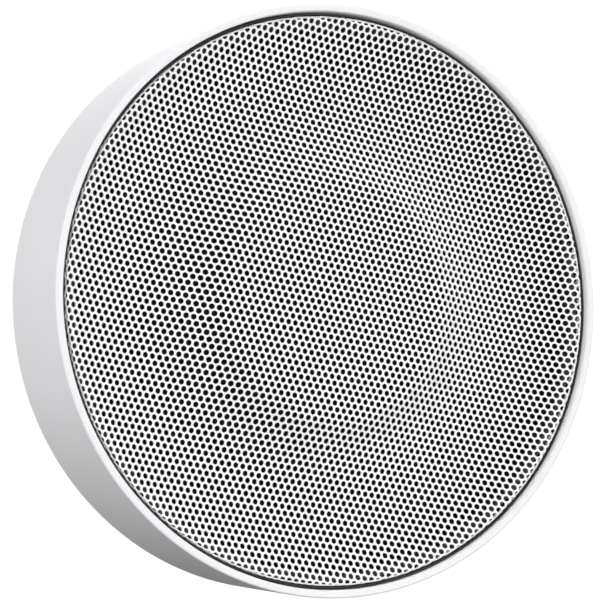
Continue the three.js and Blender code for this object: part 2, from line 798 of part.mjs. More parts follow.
function addPairButton() {
  const group = port(button.angle, controlPlane);
  speaker.add(group);
  const face = drumRadius - button.sink;
  const wallInside = Math.sqrt(drumBore ** 2 - (button.radius + button.flange) ** 2);
  const flangeTop = wallInside - slip;
  const flangeEnd = flangeTop - button.flangeThickness;
  const cap = turned([
    [0, face],
    [button.radius - 0.3, face],
    [button.radius, face - 0.3],
    [button.radius, flangeTop],
    [button.radius + button.flange, flangeTop],
    [button.radius + button.flange, flangeEnd],
    [0, flangeEnd],
  ], 24).rotateZ(-Math.PI / 2);
  add(group, "pair_button", cap, "whiteShell");
  const plungerEnd = flangeEnd - button.travel - seat;
  const bodyEnd = boardOuter - slip;
  const body = block(pushSwitch.depth, pushSwitch.height, pushSwitch.width);
  body.translate(bodyEnd - pushSwitch.depth / 2, 0, 0);
  const plunger = peg(pushSwitch.plunger, bodyEnd - 0.5, plungerEnd);
  add(group, "pair_switch", join(body, [plunger]), "blackPlastic");
}

function addMuteSlider() {
  const group = port(slider.angle, controlPlane);
  speaker.add(group);
  const rest = -slider.travel / 2;
  const skirtLength = slider.length + 2 * slider.travel + 2 * sliderSkirt.reach;
  const reach = skirtLength / 2 + slider.travel / 2;
  const skirtTop = Math.sqrt(drumBore ** 2 - reach ** 2) - slip;
  const skirtEnd = skirtTop - sliderSkirt.thickness;
  const skirt = block(sliderSkirt.thickness, slider.height + 2 * sliderSkirt.reach, skirtLength);
  skirt.translate((skirtTop + skirtEnd) / 2, 0, 0);
  const knob = pill(slider.length, slider.height, skirtEnd, drumRadius + slider.proud);
  const face = drumRadius + slider.proud;
  const grooves = [-1, 0, 1].map((step) => {
    const groove = block(2 * sliderGroove.depth, slider.height + 1, sliderGroove.width);
    return groove.translate(face, 0, step * sliderGroove.spacing);
  });
  const mesh = add(group, "mute_slider", cut(join(knob, [skirt]), grooves), "whiteShell");
  mesh.position.z = rest;
  const bodyEnd = boardOuter - slip;
  const body = block(slideSwitch.depth, slideSwitch.height, slideSwitch.width);
  body.translate(bodyEnd - slideSwitch.depth / 2, 0, 0);
  add(group, "mute_switch", body, "blackPlastic");
}

function addMicrophones() {
  const bootFront = behindRim(baffleBack) + seat;
  const boardPlace = bootFront + micBoot.thickness + seat;
  const canBack = boardPlace + micBoard.thickness + micBoard.canHeight;
  for (const [side, angle] of Object.entries(micAngles)) {
    const [x, z] = onCircle(micCircle, angle);
    const boot = ring(micPort, micBoot.radius, bootFront, bootFront + micBoot.thickness, smallSegments);
    add(speaker, `mic_boot_${side}`, boot.translate(x, 0, z), "blackRubber");
    const board = block(micBoard.width, micBoard.thickness, micBoard.width);
    board.translate(x, boardPlace + micBoard.thickness / 2, z);
    const can = block(micBoard.can, micBoard.canHeight + 0.2, micBoard.can);
    can.translate(x, canBack - (micBoard.canHeight + 0.2) / 2, z);
    add(speaker, `mic_board_${side}`, join(board, [can]), "board");
    const sign = Math.sign(x);
    const along = (degrees, y) => {
      const [px, pz] = onCircle(micCircle, degrees);
      return [sign * px, y, pz];
    };
    const start = 90 - Math.abs(90 - angle) - 6;
    const end = boardTo - 360 - 4;
    const cableStart = boardPlace + micBoard.thickness + slip + micCableRadius;
    const points = [
      along(start, cableStart),
      along(start - 12, cableStart + 0.6),
      along(start - 32, cableStart + 2),
      along((start + end) / 2, cableStart + 3),
      along(end + 12, boardFace - 2.4),
      along(end, boardFace - slip - micCableRadius),
    ];
    add(speaker, `mic_cable_${side}`, cable(points, micCableRadius, 14), "blackWire");
  }
}

function addStatusLight() {
  const [x, z] = onCircle(lightCircle, 90);
  const front = behindRim(baffleFront);
  const guideEnd = front + lightGuide.length;
  add(speaker, "light_guide", bar(lightGuide.radius, front, guideEnd, [x, z]), "clear");
  const boardPlace = guideEnd + seat + lightBoard.lampHeight;
  const board = block(lightBoard.width, lightBoard.thickness, lightBoard.height);
  board.translate(x, boardPlace + lightBoard.thickness / 2, z);
  const lamp = block(lightBoard.lamp, lightBoard.lampHeight + 0.2, lightBoard.lamp);
  lamp.translate(x, boardPlace - lightBoard.lampHeight / 2 + 0.1, z);
  add(speaker, "light_board", join(board, [lamp]), "board");
}

function addAntenna() {
  const outer = drumBore - slip;
  const back = socketPlane;
  const outline = ringSector(outer - antenna.thickness, outer, antenna.from, antenna.to);
  const strip = slab(outline, back, antenna.height);
  add(speaker, "antenna", strip, "copper");
}

addWallMount();
add(speaker, "housing", housing(), "whiteShell");
add(speaker, "back_cover", backCover(), "whiteShell");
addCaseScrews();
addHoldingMagnets();
addFront();
addDriver();
addBoard();
addSpeakerLeads();
addPowerSocket();
addPairButton();
addMuteSlider();
addMicrophones();
addStatusLight();
addAntenna();

export default speaker;
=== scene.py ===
import json
import math

import bmesh
import bpy
import numpy as np
from mathutils import Matrix, Vector


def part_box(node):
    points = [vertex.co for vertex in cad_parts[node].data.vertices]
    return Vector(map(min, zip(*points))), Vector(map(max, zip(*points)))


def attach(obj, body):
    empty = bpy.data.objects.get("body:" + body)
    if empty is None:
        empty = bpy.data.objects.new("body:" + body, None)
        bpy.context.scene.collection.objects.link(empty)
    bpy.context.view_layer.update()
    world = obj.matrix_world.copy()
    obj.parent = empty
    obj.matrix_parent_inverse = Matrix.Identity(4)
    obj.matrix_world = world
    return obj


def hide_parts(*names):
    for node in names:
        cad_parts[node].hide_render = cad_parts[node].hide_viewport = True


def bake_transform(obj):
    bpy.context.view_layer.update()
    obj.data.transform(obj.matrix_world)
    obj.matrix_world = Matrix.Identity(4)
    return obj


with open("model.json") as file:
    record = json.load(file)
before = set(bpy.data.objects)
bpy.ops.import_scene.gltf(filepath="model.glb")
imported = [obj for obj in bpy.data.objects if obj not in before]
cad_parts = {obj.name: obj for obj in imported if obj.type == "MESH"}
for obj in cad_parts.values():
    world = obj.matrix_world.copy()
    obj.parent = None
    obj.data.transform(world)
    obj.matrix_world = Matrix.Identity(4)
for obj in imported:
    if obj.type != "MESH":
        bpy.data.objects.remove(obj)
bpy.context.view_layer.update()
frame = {"nodes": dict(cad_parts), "record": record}

# Round wall speaker. The drum's axis is Y, the grille faces -Y and the wall is y = 0.
# Pieces are worked out in millimetres and become metres when they are placed.
mm = 0.001
tau = 2 * math.pi


def low(node, axis):
    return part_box(node)[0][axis] / mm


def high(node, axis):
    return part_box(node)[1][axis] / mm


def span(node):
    # Front and back of a node along the drum's axis
    return low(node, 1), high(node, 1)


def middle(node):
    # Centre of a node across the drum's axis
    first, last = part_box(node)
    return (first[0] + last[0]) / 2 / mm, (first[2] + last[2]) / 2 / mm


drumRadius = high("housing", 0)
drumWall = 1.6
rimPlane = low("housing", 1)
backEdge = high("housing", 1)
grilleRadius = high("grille", 0)
drumBore = drumRadius - drumWall


# Camera, lights and floor

cameraValues = {
    "turn": 24.6,  # degrees to the left of the drum's axis
    "tilt": 3.75,  # degrees that it looks up
    "distance": 7.06,  # in drum radii, as are right and up
    "right": 0.136,
    "up": 0.005,
    "lens": 126.1,
}

lightValues = {
    # brightness of the sky by sine of the height above the horizon
    "sky": [(-1.0, 0.12), (-0.25, 0.12), (-0.2, 1.02), (0.24, 1.02), (0.4, 0.0), (1.0, 0.0)],
    "lamps": [
        # name, place, size, watts
        ("backLamp", (0.0, 1.8, 2.6), 1.6, 64.0),
        ("highLamp", (0.25, -0.2, 0.8), 0.4, 4.6),
        ("lowLamp", (0.8, -1.2, -0.35), 0.6, 9.3),
        ("rightLamp", (0.9, -1.1, 0.35), 0.7, 0.65),
        ("leftLamp", (-1.3, -0.7, 0.25), 0.8, 3.7),
        ("nearLamp", (-0.4, -0.3, 0.02), 0.25, 0.8),
    ],
    "floorDrop": 1.0,
    "floorReach": 9.0,
    "floorGlow": 0.6,
}


def makeCamera():
    v = cameraValues
    turn, tilt = math.radians(v["turn"]), math.radians(v["tilt"])
    ahead = Vector((math.sin(turn) * math.cos(tilt), math.cos(turn) * math.cos(tilt), math.sin(tilt)))
    right = Vector((math.cos(turn), -math.sin(turn), 0))
    up = right.cross(ahead)
    front = Vector((0, rimPlane * mm, 0))
    place = front - drumRadius * mm * (v["right"] * right + v["up"] * up + v["distance"] * ahead)
    camera = bpy.data.objects.new("camera", bpy.data.cameras.new("camera"))
    camera.data.lens = v["lens"]
    camera.data.sensor_width = 36
    camera.data.clip_start = 0.01
    turned = Matrix((right, up, -ahead)).transposed().to_4x4()
    camera.matrix_world = Matrix.Translation(place) @ turned
    bpy.context.scene.collection.objects.link(camera)
    bpy.context.scene.camera = camera


def makeLamp(name, place, size, watts):
    lamp = bpy.data.objects.new(name, bpy.data.lights.new(name, "AREA"))
    lamp.data.shape = "DISK"
    lamp.data.size = size
    lamp.data.energy = watts
    aim = Vector((0, rimPlane * mm / 2, 0)) - Vector(place)
    lamp.rotation_euler = aim.to_track_quat("-Z", "Y").to_euler()
    lamp.location = place
    bpy.context.scene.collection.objects.link(lamp)


def makeWorld():
    # The sky's brightness follows the sine of the height above the horizon, by the stops of a ramp
    world = bpy.data.worlds.new("studio")
    world.use_nodes = True
    nodes, links = world.node_tree.nodes, world.node_tree.links
    background = nodes["Background"]
    where = nodes.new("ShaderNodeTexCoord")
    split = nodes.new("ShaderNodeSeparateXYZ")
    spread = nodes.new("ShaderNodeMapRange")
    spread.inputs["From Min"].default_value = -1
    ramp = nodes.new("ShaderNodeValToRGB")
    stops = ramp.color_ramp.elements
    stops.remove(stops[1])
    for n, (height, bright) in enumerate(lightValues["sky"]):
        place = (height + 1) / 2
        stop = stops.new(place) if n else stops[0]
        stop.position = place
        stop.color = (bright, bright, bright, 1)
    links.new(where.outputs["Generated"], split.inputs[0])
    links.new(split.outputs["Z"], spread.inputs["Value"])
    links.new(spread.outputs["Result"], ramp.inputs["Fac"])
    links.new(ramp.outputs["Color"], background.inputs["Strength"])
    background.inputs["Color"].default_value = (1, 1, 1, 1)
    bpy.context.scene.world = world


def makeFloor(material):
    # A round floor well below the drum, which glows faintly and throws no light back up at the drum
    reach, drop, sides = lightValues["floorReach"], lightValues["floorDrop"], 96
    angle = np.arange(sides) * tau / sides
    rim = np.stack([reach * np.cos(angle), reach * np.sin(angle), np.full(sides, -drop)], -1)
    mesh = bpy.data.meshes.new("floor")
    mesh.from_pydata(rim.tolist(), [], [tuple(range(sides))])
    mesh.materials.append(material)
    floor = bpy.data.objects.new("floor", mesh)
    floor.visible_diffuse = False
    floor.visible_glossy = False
    bpy.context.scene.collection.objects.link(floor)


# Materials

def newMaterial(name, color, roughness, metallic=0.0):
    material = bpy.data.materials.new(name)
    material.use_nodes = True
    shader = material.node_tree.nodes["Principled BSDF"]
    shader.inputs["Base Color"].default_value = (*color, 1)
    shader.inputs["Roughness"].default_value = roughness
    shader.inputs["Metallic"].default_value = metallic
    return material, shader


def objectNoise(material, scale, detail):
    nodes, links = material.node_tree.nodes, material.node_tree.links
    where = nodes.new("ShaderNodeTexCoord")
    noise = nodes.new("ShaderNodeTexNoise")
    noise.inputs["Scale"].default_value = scale
    noise.inputs["Detail"].default_value = detail
    links.new(where.outputs["Object"], noise.inputs["Vector"])
    return noise


def addTint(material, shader, noise, low, high):
    # Colour drifts between two tints by the noise
    nodes, links = material.node_tree.nodes, material.node_tree.links
    ramp = nodes.new("ShaderNodeValToRGB")
    ramp.color_ramp.elements[0].position = 0.3
    ramp.color_ramp.elements[1].position = 0.7
    ramp.color_ramp.elements[0].color = (*low, 1)
    ramp.color_ramp.elements[1].color = (*high, 1)
    links.new(noise.outputs["Fac"], ramp.inputs["Fac"])
    links.new(ramp.outputs["Color"], shader.inputs["Base Color"])


def addRange(material, noise, socket, low, high):
    nodes, links = material.node_tree.nodes, material.node_tree.links
    spread = nodes.new("ShaderNodeMapRange")
    spread.inputs["From Min"].default_value = 0.3
    spread.inputs["From Max"].default_value = 0.7
    spread.inputs["To Min"].default_value = low
    spread.inputs["To Max"].default_value = high
    links.new(noise.outputs["Fac"], spread.inputs["Value"])
    links.new(spread.outputs["Result"], socket)


def addBump(material, shader, heightSocket, strength, distance):
    nodes, links = material.node_tree.nodes, material.node_tree.links
    bump = nodes.new("ShaderNodeBump")
    bump.inputs["Strength"].default_value = strength
    bump.inputs["Distance"].default_value = distance
    links.new(heightSocket, bump.inputs["Height"])
    links.new(bump.outputs["Normal"], shader.inputs["Normal"])
    return bump


def mouldedPlastic(name, color, roughness, grain=2600, depth=0.012 * mm, drift=0.03):
    # Fine spark-eroded grain, with colour and gloss that drift slightly over a few centimetres
    material, shader = newMaterial(name, color, roughness)
    shader.inputs["Specular IOR Level"].default_value = 0.45
    broad = objectNoise(material, 35, 2)
    fine = objectNoise(material, grain, 4)
    low = tuple(c * (1 - drift) for c in color)
    addTint(material, shader, broad, low, color)
    addRange(material, fine, shader.inputs["Roughness"], roughness - 0.05, roughness + 0.06)
    addBump(material, shader, fine.outputs["Fac"], 0.5, depth)
    return material


def powderCoat(name, color, roughness):
    # Baked paint: a faint orange peel over the sheet
    material, shader = newMaterial(name, color, roughness)
    shader.inputs["Specular IOR Level"].default_value = 0.4
    peel = objectNoise(material, 900, 2)
    broad = objectNoise(material, 30, 2)
    addTint(material, shader, broad, tuple(c * 0.985 for c in color), color)
    addRange(material, peel, shader.inputs["Roughness"], roughness - 0.06, roughness + 0.06)
    addBump(material, shader, peel.outputs["Fac"], 0.35, 0.02 * mm)
    return material


def wovenCloth(name, color, pitch):
    # Threads over and under: two crossed sine bands, each raised where the other dips. The colour is painted
    # darker where the threads dip, as shade between them
    material, shader = newMaterial(name, color, 0.95)
    shader.inputs["Sheen Weight"].default_value = 0.03
    shader.inputs["Specular IOR Level"].default_value = 0.1
    nodes, links = material.node_tree.nodes, material.node_tree.links
    where = nodes.new("ShaderNodeTexCoord")
    waves = []
    for direction in ("X", "Z"):
        wave = nodes.new("ShaderNodeTexWave")
        wave.bands_direction = direction
        wave.inputs["Scale"].default_value = 0.314 / pitch
        wave.inputs["Distortion"].default_value = 0.4
        wave.inputs["Detail"].default_value = 1
        links.new(where.outputs["Object"], wave.inputs["Vector"])
        waves.append(wave)
    weave = nodes.new("ShaderNodeMath")
    weave.operation = "MULTIPLY"
    links.new(waves[0].outputs["Fac"], weave.inputs[0])
    links.new(waves[1].outputs["Fac"], weave.inputs[1])
    # painted shade: the colour falls to 0.4 of itself where the weave is low, between the threads
    paintedShade = nodes.new("ShaderNodeValToRGB")
    paintedShade.color_ramp.elements[0].color = (*(0.4 * c for c in color), 1)
    paintedShade.color_ramp.elements[1].color = (*color, 1)
    links.new(weave.outputs[0], paintedShade.inputs["Fac"])
    links.new(paintedShade.outputs["Color"], shader.inputs["Base Color"])
    addBump(material, shader, weave.outputs[0], 0.8, 0.1 * mm)
    return material


def foamRubber(name, color, cells=1500, roughness=0.9, depth=0.08 * mm):
    # Open pores from a cell pattern, each painted darker towards its middle as shade inside the pore
    material, shader = newMaterial(name, color, roughness)
    nodes, links = material.node_tree.nodes, material.node_tree.links
    where = nodes.new("ShaderNodeTexCoord")
    cell = nodes.new("ShaderNodeTexVoronoi")
    cell.inputs["Scale"].default_value = cells
    links.new(where.outputs["Object"], cell.inputs["Vector"])
    # painted shade: the colour falls to 0.6 of itself at the middle of each pore
    paintedShade = nodes.new("ShaderNodeValToRGB")
    paintedShade.color_ramp.elements[0].color = (*(0.6 * c for c in color), 1)
    paintedShade.color_ramp.elements[1].position = 0.6
    paintedShade.color_ramp.elements[1].color = (*color, 1)
    links.new(cell.outputs["Distance"], paintedShade.inputs["Fac"])
    links.new(paintedShade.outputs["Color"], shader.inputs["Base Color"])
    addBump(material, shader, cell.outputs["Distance"], 0.5, depth)
    return material


def platedMetal(name, color, roughness, stretch=(1, 1, 1), scale=700):
    # Plating with faint rolled lines along one direction
    material, shader = newMaterial(name, color, roughness, 1.0)
    nodes, links = material.node_tree.nodes, material.node_tree.links
    where = nodes.new("ShaderNodeTexCoord")
    place = nodes.new("ShaderNodeMapping")
    place.inputs["Scale"].default_value = stretch
    noise = nodes.new("ShaderNodeTexNoise")
    noise.inputs["Scale"].default_value = scale
    noise.inputs["Detail"].default_value = 4
    links.new(where.outputs["Object"], place.inputs["Vector"])
    links.new(place.outputs["Vector"], noise.inputs["Vector"])
    addTint(material, shader, noise, tuple(0.82 * c for c in color), color)
    addRange(material, noise, shader.inputs["Roughness"], roughness - 0.08, roughness + 0.12)
    addBump(material, shader, noise.outputs["Fac"], 0.25, 0.01 * mm)
    return material


shellWhite = mouldedPlastic("shellWhite", (0.80, 0.80, 0.82), 0.42)
coverWhite = mouldedPlastic("coverWhite", (0.76, 0.76, 0.78), 0.55, grain=1500, depth=0.03 * mm)
grillePaint = powderCoat("grillePaint", (0.90, 0.90, 0.905), 0.38)
clothBlack = wovenCloth("clothBlack", (0.012, 0.012, 0.013), 0.35 * mm)
plasticBlack = mouldedPlastic("plasticBlack", (0.02, 0.02, 0.022), 0.6, grain=1800)
coneBlack = mouldedPlastic("coneBlack", (0.03, 0.03, 0.033), 0.45, grain=900, drift=0.2)
rubberBlack = mouldedPlastic("rubberBlack", (0.025, 0.025, 0.025), 0.8, grain=1200, drift=0.15)
rubberGrey = mouldedPlastic("rubberGrey", (0.30, 0.31, 0.32), 0.8, grain=1200, drift=0.08)
foamDark = foamRubber("foamDark", (0.06, 0.06, 0.065))
steelZinc = platedMetal("steelZinc", (0.62, 0.63, 0.65), 0.32, (1, 1, 8))
steelScrew = platedMetal("steelScrew", (0.52, 0.52, 0.54), 0.3, (1, 8, 1))
steelBlack = powderCoat("steelBlack", (0.03, 0.03, 0.034), 0.45)
nickelPlate = platedMetal("nickelPlate", (0.68, 0.66, 0.62), 0.2)
canAluminium = platedMetal("canAluminium", (0.75, 0.75, 0.77), 0.3, (1, 10, 1))
copperWire = platedMetal("copperWire", (0.66, 0.30, 0.13), 0.3, (1, 30, 1))
spiderCloth = wovenCloth("spiderCloth", (0.48, 0.31, 0.13), 0.5 * mm)
boardGreen = mouldedPlastic("boardGreen", (0.015, 0.09, 0.04), 0.35, grain=700, drift=0.3)
ferriteDark = mouldedPlastic("ferriteDark", (0.05, 0.05, 0.055), 0.7, grain=1000, drift=0.2)
clearPlastic = mouldedPlastic("clearPlastic", (0.85, 0.88, 0.9), 0.15, grain=500)
plasticCream = mouldedPlastic("plasticCream", (0.70, 0.66, 0.52), 0.5, drift=0.08)
wireRed = mouldedPlastic("wireRed", (0.42, 0.02, 0.015), 0.45, drift=0.1)
wireBlack = mouldedPlastic("wireBlack", (0.02, 0.02, 0.02), 0.45, drift=0.1)
floorPale = mouldedPlastic("floorPale", (0.78, 0.78, 0.78), 0.9, grain=60, drift=0.01)
floorShader = floorPale.node_tree.nodes["Principled BSDF"]
floorShader.inputs["Emission Color"].default_value = (1, 1, 1, 1)
floorShader.inputs["Emission Strength"].default_value = lightValues["floorGlow"]

slotMaterials = {
    "shell_white": shellWhite,
    "cover_white": coverWhite,
    "grille_paint": grillePaint,
    "cloth_black": clothBlack,
    "plastic_black": plasticBlack,
    "cone_black": coneBlack,
    "rubber_black": rubberBlack,
    "rubber_grey": rubberGrey,
    "foam_dark": foamDark,
    "steel_zinc": steelZinc,
    "steel_screw": steelScrew,
    "steel_black": steelBlack,
    "nickel": nickelPlate,
    "can_aluminium": canAluminium,
    "copper": copperWire,
    "spider_cloth": spiderCloth,
    "board_green": boardGreen,
    "ferrite_dark": ferriteDark,
    "clear_plastic": clearPlastic,
    "plastic_cream": plasticCream,
    "wire_red": wireRed,
    "wire_black": wireBlack,
}

for part in frame["record"]["subparts"]:
    node = frame["nodes"][part["node"]]
    node.data.materials.clear()
    node.data.materials.append(slotMaterials[part["material_slot"]])
print("materials made")


# Mesh helpers

def meshObject(name, points, faces, material, sharpAngle=35):
    # faces is a list of index arrays, one for each number of corners
    mesh = bpy.data.meshes.new(name)
    corners = np.concatenate([f.reshape(-1) for f in faces])
    totals = np.concatenate([np.full(len(f), f.shape[1]) for f in faces])
    starts = np.concatenate([[0], np.cumsum(totals)[:-1]])
    mesh.vertices.add(len(points))
    mesh.vertices.foreach_set("co", np.asarray(points, np.float32).reshape(-1))
    mesh.loops.add(len(corners))
    mesh.loops.foreach_set("vertex_index", corners.astype(np.int32))
    mesh.polygons.add(len(totals))
    mesh.polygons.foreach_set("loop_start", starts.astype(np.int32))
    mesh.update(calc_edges=True)
    mesh.validate()
    mesh.shade_smooth()
    mesh.set_sharp_from_angle(angle=math.radians(sharpAngle))
    mesh.materials.append(material)
    obj = bpy.data.objects.new(name, mesh)
    bpy.context.scene.collection.objects.link(obj)
    return obj


def rounded(outline, steps=5):
    # Each corner (r, y, radius) of a closed outline becomes an arc of its radius, tangent to both sides
    points = []
    count = len(outline)
    for i, (r, y, radius) in enumerate(outline):
        corner = Vector((r, y))
        before = (Vector(outline[i - 1][:2]) - corner).normalized()
        after = (Vector(outline[(i + 1) % count][:2]) - corner).normalized()
        if radius <= 0:
            points.append((r, y))
            continue
        half = before.angle(after) / 2
        centre = corner + (before + after).normalized() * (radius / math.sin(half))
        first = corner + before * (radius / math.tan(half)) - centre
        last = corner + after * (radius / math.tan(half)) - centre
        sweep = math.atan2(first.x * last.y - first.y * last.x, first.dot(last))
        for k in range(steps + 1):
            turn = sweep * k / steps
            arm = (first.x * math.cos(turn) - first.y * math.sin(turn),
                   first.x * math.sin(turn) + first.y * math.cos(turn))
            points.append((centre.x + arm[0], centre.y + arm[1]))
    return points


def ringOutline(inner, outer, front, back, soft):
    # Section of a ring with rounded corners, or of a disc if it has no inner radius
    bore = soft if inner else 0
    return rounded([(inner, front, bore), (outer, front, soft), (outer, back, soft), (inner, back, bore)])


def turnedMesh(profile, segments):
    # x = r cos a, z = r sin a for every point (r, y) of the profile and every angle a. Points on the axis
    # are shared
    profile = np.array(profile, float)
    after = np.roll(profile, -1, axis=0)
    area = np.sum(profile[:, 0] * after[:, 1] - after[:, 0] * profile[:, 1])
    if area < 0:
        profile = profile[::-1]
    onAxis = profile[:, 0] < 1e-9
    if onAxis.any():
        while not (onAxis[0] and onAxis[-1]):
            profile = np.roll(profile, 1, axis=0)
            onAxis = profile[:, 0] < 1e-9
    angle = np.arange(segments) * tau / segments
    radius, y = profile[:, :1], profile[:, 1:]
    ringPoints = np.stack([radius * np.cos(angle), y + 0 * angle, radius * np.sin(angle)], -1)
    index = np.arange(len(profile) * segments).reshape(len(profile), segments)
    index[onAxis] = index[onAxis][:, :1]
    upper = np.roll(index, -1, axis=0)
    if onAxis.any():
        index, upper = index[:-1], upper[:-1]
    quads = np.stack([index, upper, np.roll(upper, -1, 1), np.roll(index, -1, 1)], -1).reshape(-1, 4)
    return ringPoints.reshape(-1, 3), quads


def packed(points, quads):
    # Quads with two corners in one place become triangles, and unused points go
    fan = (quads[:, 0] == quads[:, 3])
    tip = (quads[:, 1] == quads[:, 2])
    whole = quads[~fan & ~tip]
    tris = np.concatenate([quads[fan & ~tip][:, :3], quads[tip & ~fan][:, [0, 1, 3]]])
    used = np.unique(np.concatenate([whole.reshape(-1), tris.reshape(-1)]))
    number = np.full(len(points), -1)
    number[used] = np.arange(len(used))
    faces = [number[f] for f in (whole, tris) if len(f)]
    return points[used], faces


def turned(name, profile, material, segments=192, at=(0, 0)):
    points, quads = turnedMesh(profile, segments)
    points, faces = packed(points, quads)
    points = points + np.array([at[0], 0, at[1]])
    return meshObject(name, points, faces, material)


def atPort(points, degrees, y):
    # Local x goes outwards at the angle, local y along the drum's axis, local z round the drum
    a = math.radians(degrees)
    x, along, z = points[:, 0], points[:, 1], points[:, 2]
    return np.stack([x * math.cos(a) - z * math.sin(a), along + y, x * math.sin(a) + z * math.cos(a)], -1)


def pillOutline(length, height, grow, steps=12):
    # Two half circles joined by straight sides, grown outwards by an amount
    radius = height / 2 + grow
    straight = max(length - height, 0) / 2
    turn = np.linspace(-math.pi / 2, math.pi / 2, steps + 1)
    right = np.stack([radius * np.sin(turn), straight + radius * np.cos(turn)], -1)
    left = -right
    return np.concatenate([right, left])


def pillBar(name, length, height, stations, material, degrees, y, shift=0.0):
    # One pill outline for each station (distance out, growth), joined in order, with flat ends
    rings = []
    for out, grow in stations:
        outline = pillOutline(length, height, grow)
        rings.append(np.column_stack([np.full(len(outline), out), outline[:, 0], outline[:, 1] + shift]))
    count = len(rings[0])
    points = atPort(np.concatenate(rings), degrees, y)
    index = np.arange(len(rings) * count).reshape(len(rings), count)
    lower, upper = index[:-1], index[1:]
    sides = np.stack([lower, np.roll(lower, -1, 1), np.roll(upper, -1, 1), upper], -1).reshape(-1, 4)
    caps = [index[0][::-1][None], index[-1][None]]
    return facingOut(meshObject(name, points, [sides, *caps], material))


def portTurned(name, profile, material, degrees, y, segments=64):
    # A profile of (radius, distance out) turned about a line that runs out from the drum's axis
    points, quads = turnedMesh(profile, segments)
    points, faces = packed(points, quads)
    local = np.stack([points[:, 1], -points[:, 0], points[:, 2]], -1)
    return meshObject(name, atPort(local, degrees, y), faces, material)


def portBox(name, size, centre, degrees, y, soft, material=shellWhite):
    # A box with bevelled edges, in the place and turn of a port
    corners = np.array([(a, b, c) for a in (-1, 1) for b in (-1, 1) for c in (-1, 1)], float)
    local = corners * np.array(size) / 2 + np.array(centre)
    sides = np.array([[0, 1, 3, 2], [4, 6, 7, 5], [0, 4, 5, 1], [2, 3, 7, 6], [0, 2, 6, 4], [1, 5, 7, 3]])
    box = meshObject(name, atPort(local, degrees, y), [sides], material)
    net = bmesh.new()
    net.from_mesh(box.data)
    bmesh.ops.bevel(net, geom=net.edges[:], offset=soft, segments=2, profile=0.5, affect="EDGES")
    bmesh.ops.recalc_face_normals(net, faces=net.faces)
    net.to_mesh(box.data)
    net.free()
    return box


def peg(name, radius, start, end, at, segments=48):
    profile = [(0, start), (radius, start), (radius, end), (0, end)]
    return turned(name, profile, plasticBlack, segments, at)


def onCircle(radius, degrees):
    a = math.radians(degrees)
    return radius * math.cos(a), radius * math.sin(a)


def joined(name, objects, material):
    net = bmesh.new()
    for obj in objects:
        net.from_mesh(obj.data)
        bpy.data.objects.remove(obj)
    mesh = bpy.data.meshes.new(name)
    net.to_mesh(mesh)
    net.free()
    mesh.materials.append(material)
    made = bpy.data.objects.new(name, mesh)
    bpy.context.scene.collection.objects.link(made)
    return made


def facingOut(obj):
    net = bmesh.new()
    net.from_mesh(obj.data)
    bmesh.ops.remove_doubles(net, verts=net.verts, dist=1e-4)
    bmesh.ops.recalc_face_normals(net, faces=net.faces)
    net.to_mesh(obj.data)
    net.free()
    return obj


def carve(obj, cutters, operation="DIFFERENCE"):
    # Booleans on closed meshes, applied at once; the cutters go
    for cutter in cutters:
        boolean = obj.modifiers.new("carve", "BOOLEAN")
        boolean.solver = "MANIFOLD"
        boolean.operation = operation
        boolean.object = cutter
    bpy.context.view_layer.update()
    graph = bpy.context.evaluated_depsgraph_get()
    made = bpy.data.meshes.new_from_object(obj.evaluated_get(graph))
    material = obj.data.materials[0]
    obj.modifiers.clear()
    obj.data = made
    obj.data.materials.clear()
    obj.data.materials.append(material)
    obj.data.polygons.foreach_set("material_index", np.zeros(len(made.polygons), np.int32))
    obj.data.shade_smooth()
    obj.data.set_sharp_from_angle(angle=math.radians(35))
    for cutter in cutters:
        bpy.data.objects.remove(cutter)


def place(obj, body, slot, node):
    obj.data.transform(Matrix.Scale(mm, 4))
    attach(obj, body)
    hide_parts(node)


def bridge(obj, node):
    # A ring between two bodies, attached to neither: scaled to metres, its transform baked in, and its node
    # hidden
    obj.data.transform(Matrix.Scale(mm, 4))
    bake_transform(obj)
    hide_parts(node)


# Grille: a thin sheet punched with a staggered field of round holes, dished, and folded back at its edge

grilleValues = {
    "pitch": 1.5,
    "hole": 1.17,
    "sides": 12,
    "rowTurn": -9.4,  # degrees of the rows from +X towards +Z
    "sheet": 0.3,
    "discSink": 1.6,
    "troughRadius": 40,
    "troughDepth": 3.2,
    "troughCurve": 36,
    "edgeRise": 0.8,
    "shoulder": 0.45,
    "fold": 0.6,
    "foldDepth": 1.7,
    "split": 38,  # the sheet is made in two meshes that meet at this radius
}


def troughHeight(r):
    # Height and slope: a parabola on each side of the trough, whose inner one runs into the flat disc along
    # a hyperbola
    v = grilleValues
    foldCentre = grilleRadius - v["fold"]
    outerCurve = (foldCentre - v["troughRadius"]) ** 2 / (2 * (v["troughDepth"] + v["edgeRise"]))
    across = r - v["troughRadius"]
    inner = across**2 / (2 * v["troughCurve"]) - v["troughDepth"]
    blend = np.hypot(inner, v["shoulder"])
    level = math.hypot(v["troughDepth"], v["shoulder"]) - v["troughDepth"]
    innerHeight = (inner - blend + level) / 2
    innerSlope = across / v["troughCurve"] * (1 - inner / blend) / 2
    outside = across > 0
    height = np.where(outside, across**2 / (2 * outerCurve) - v["troughDepth"], innerHeight)
    slope = np.where(outside, across / outerCurve, innerSlope)
    return height, slope


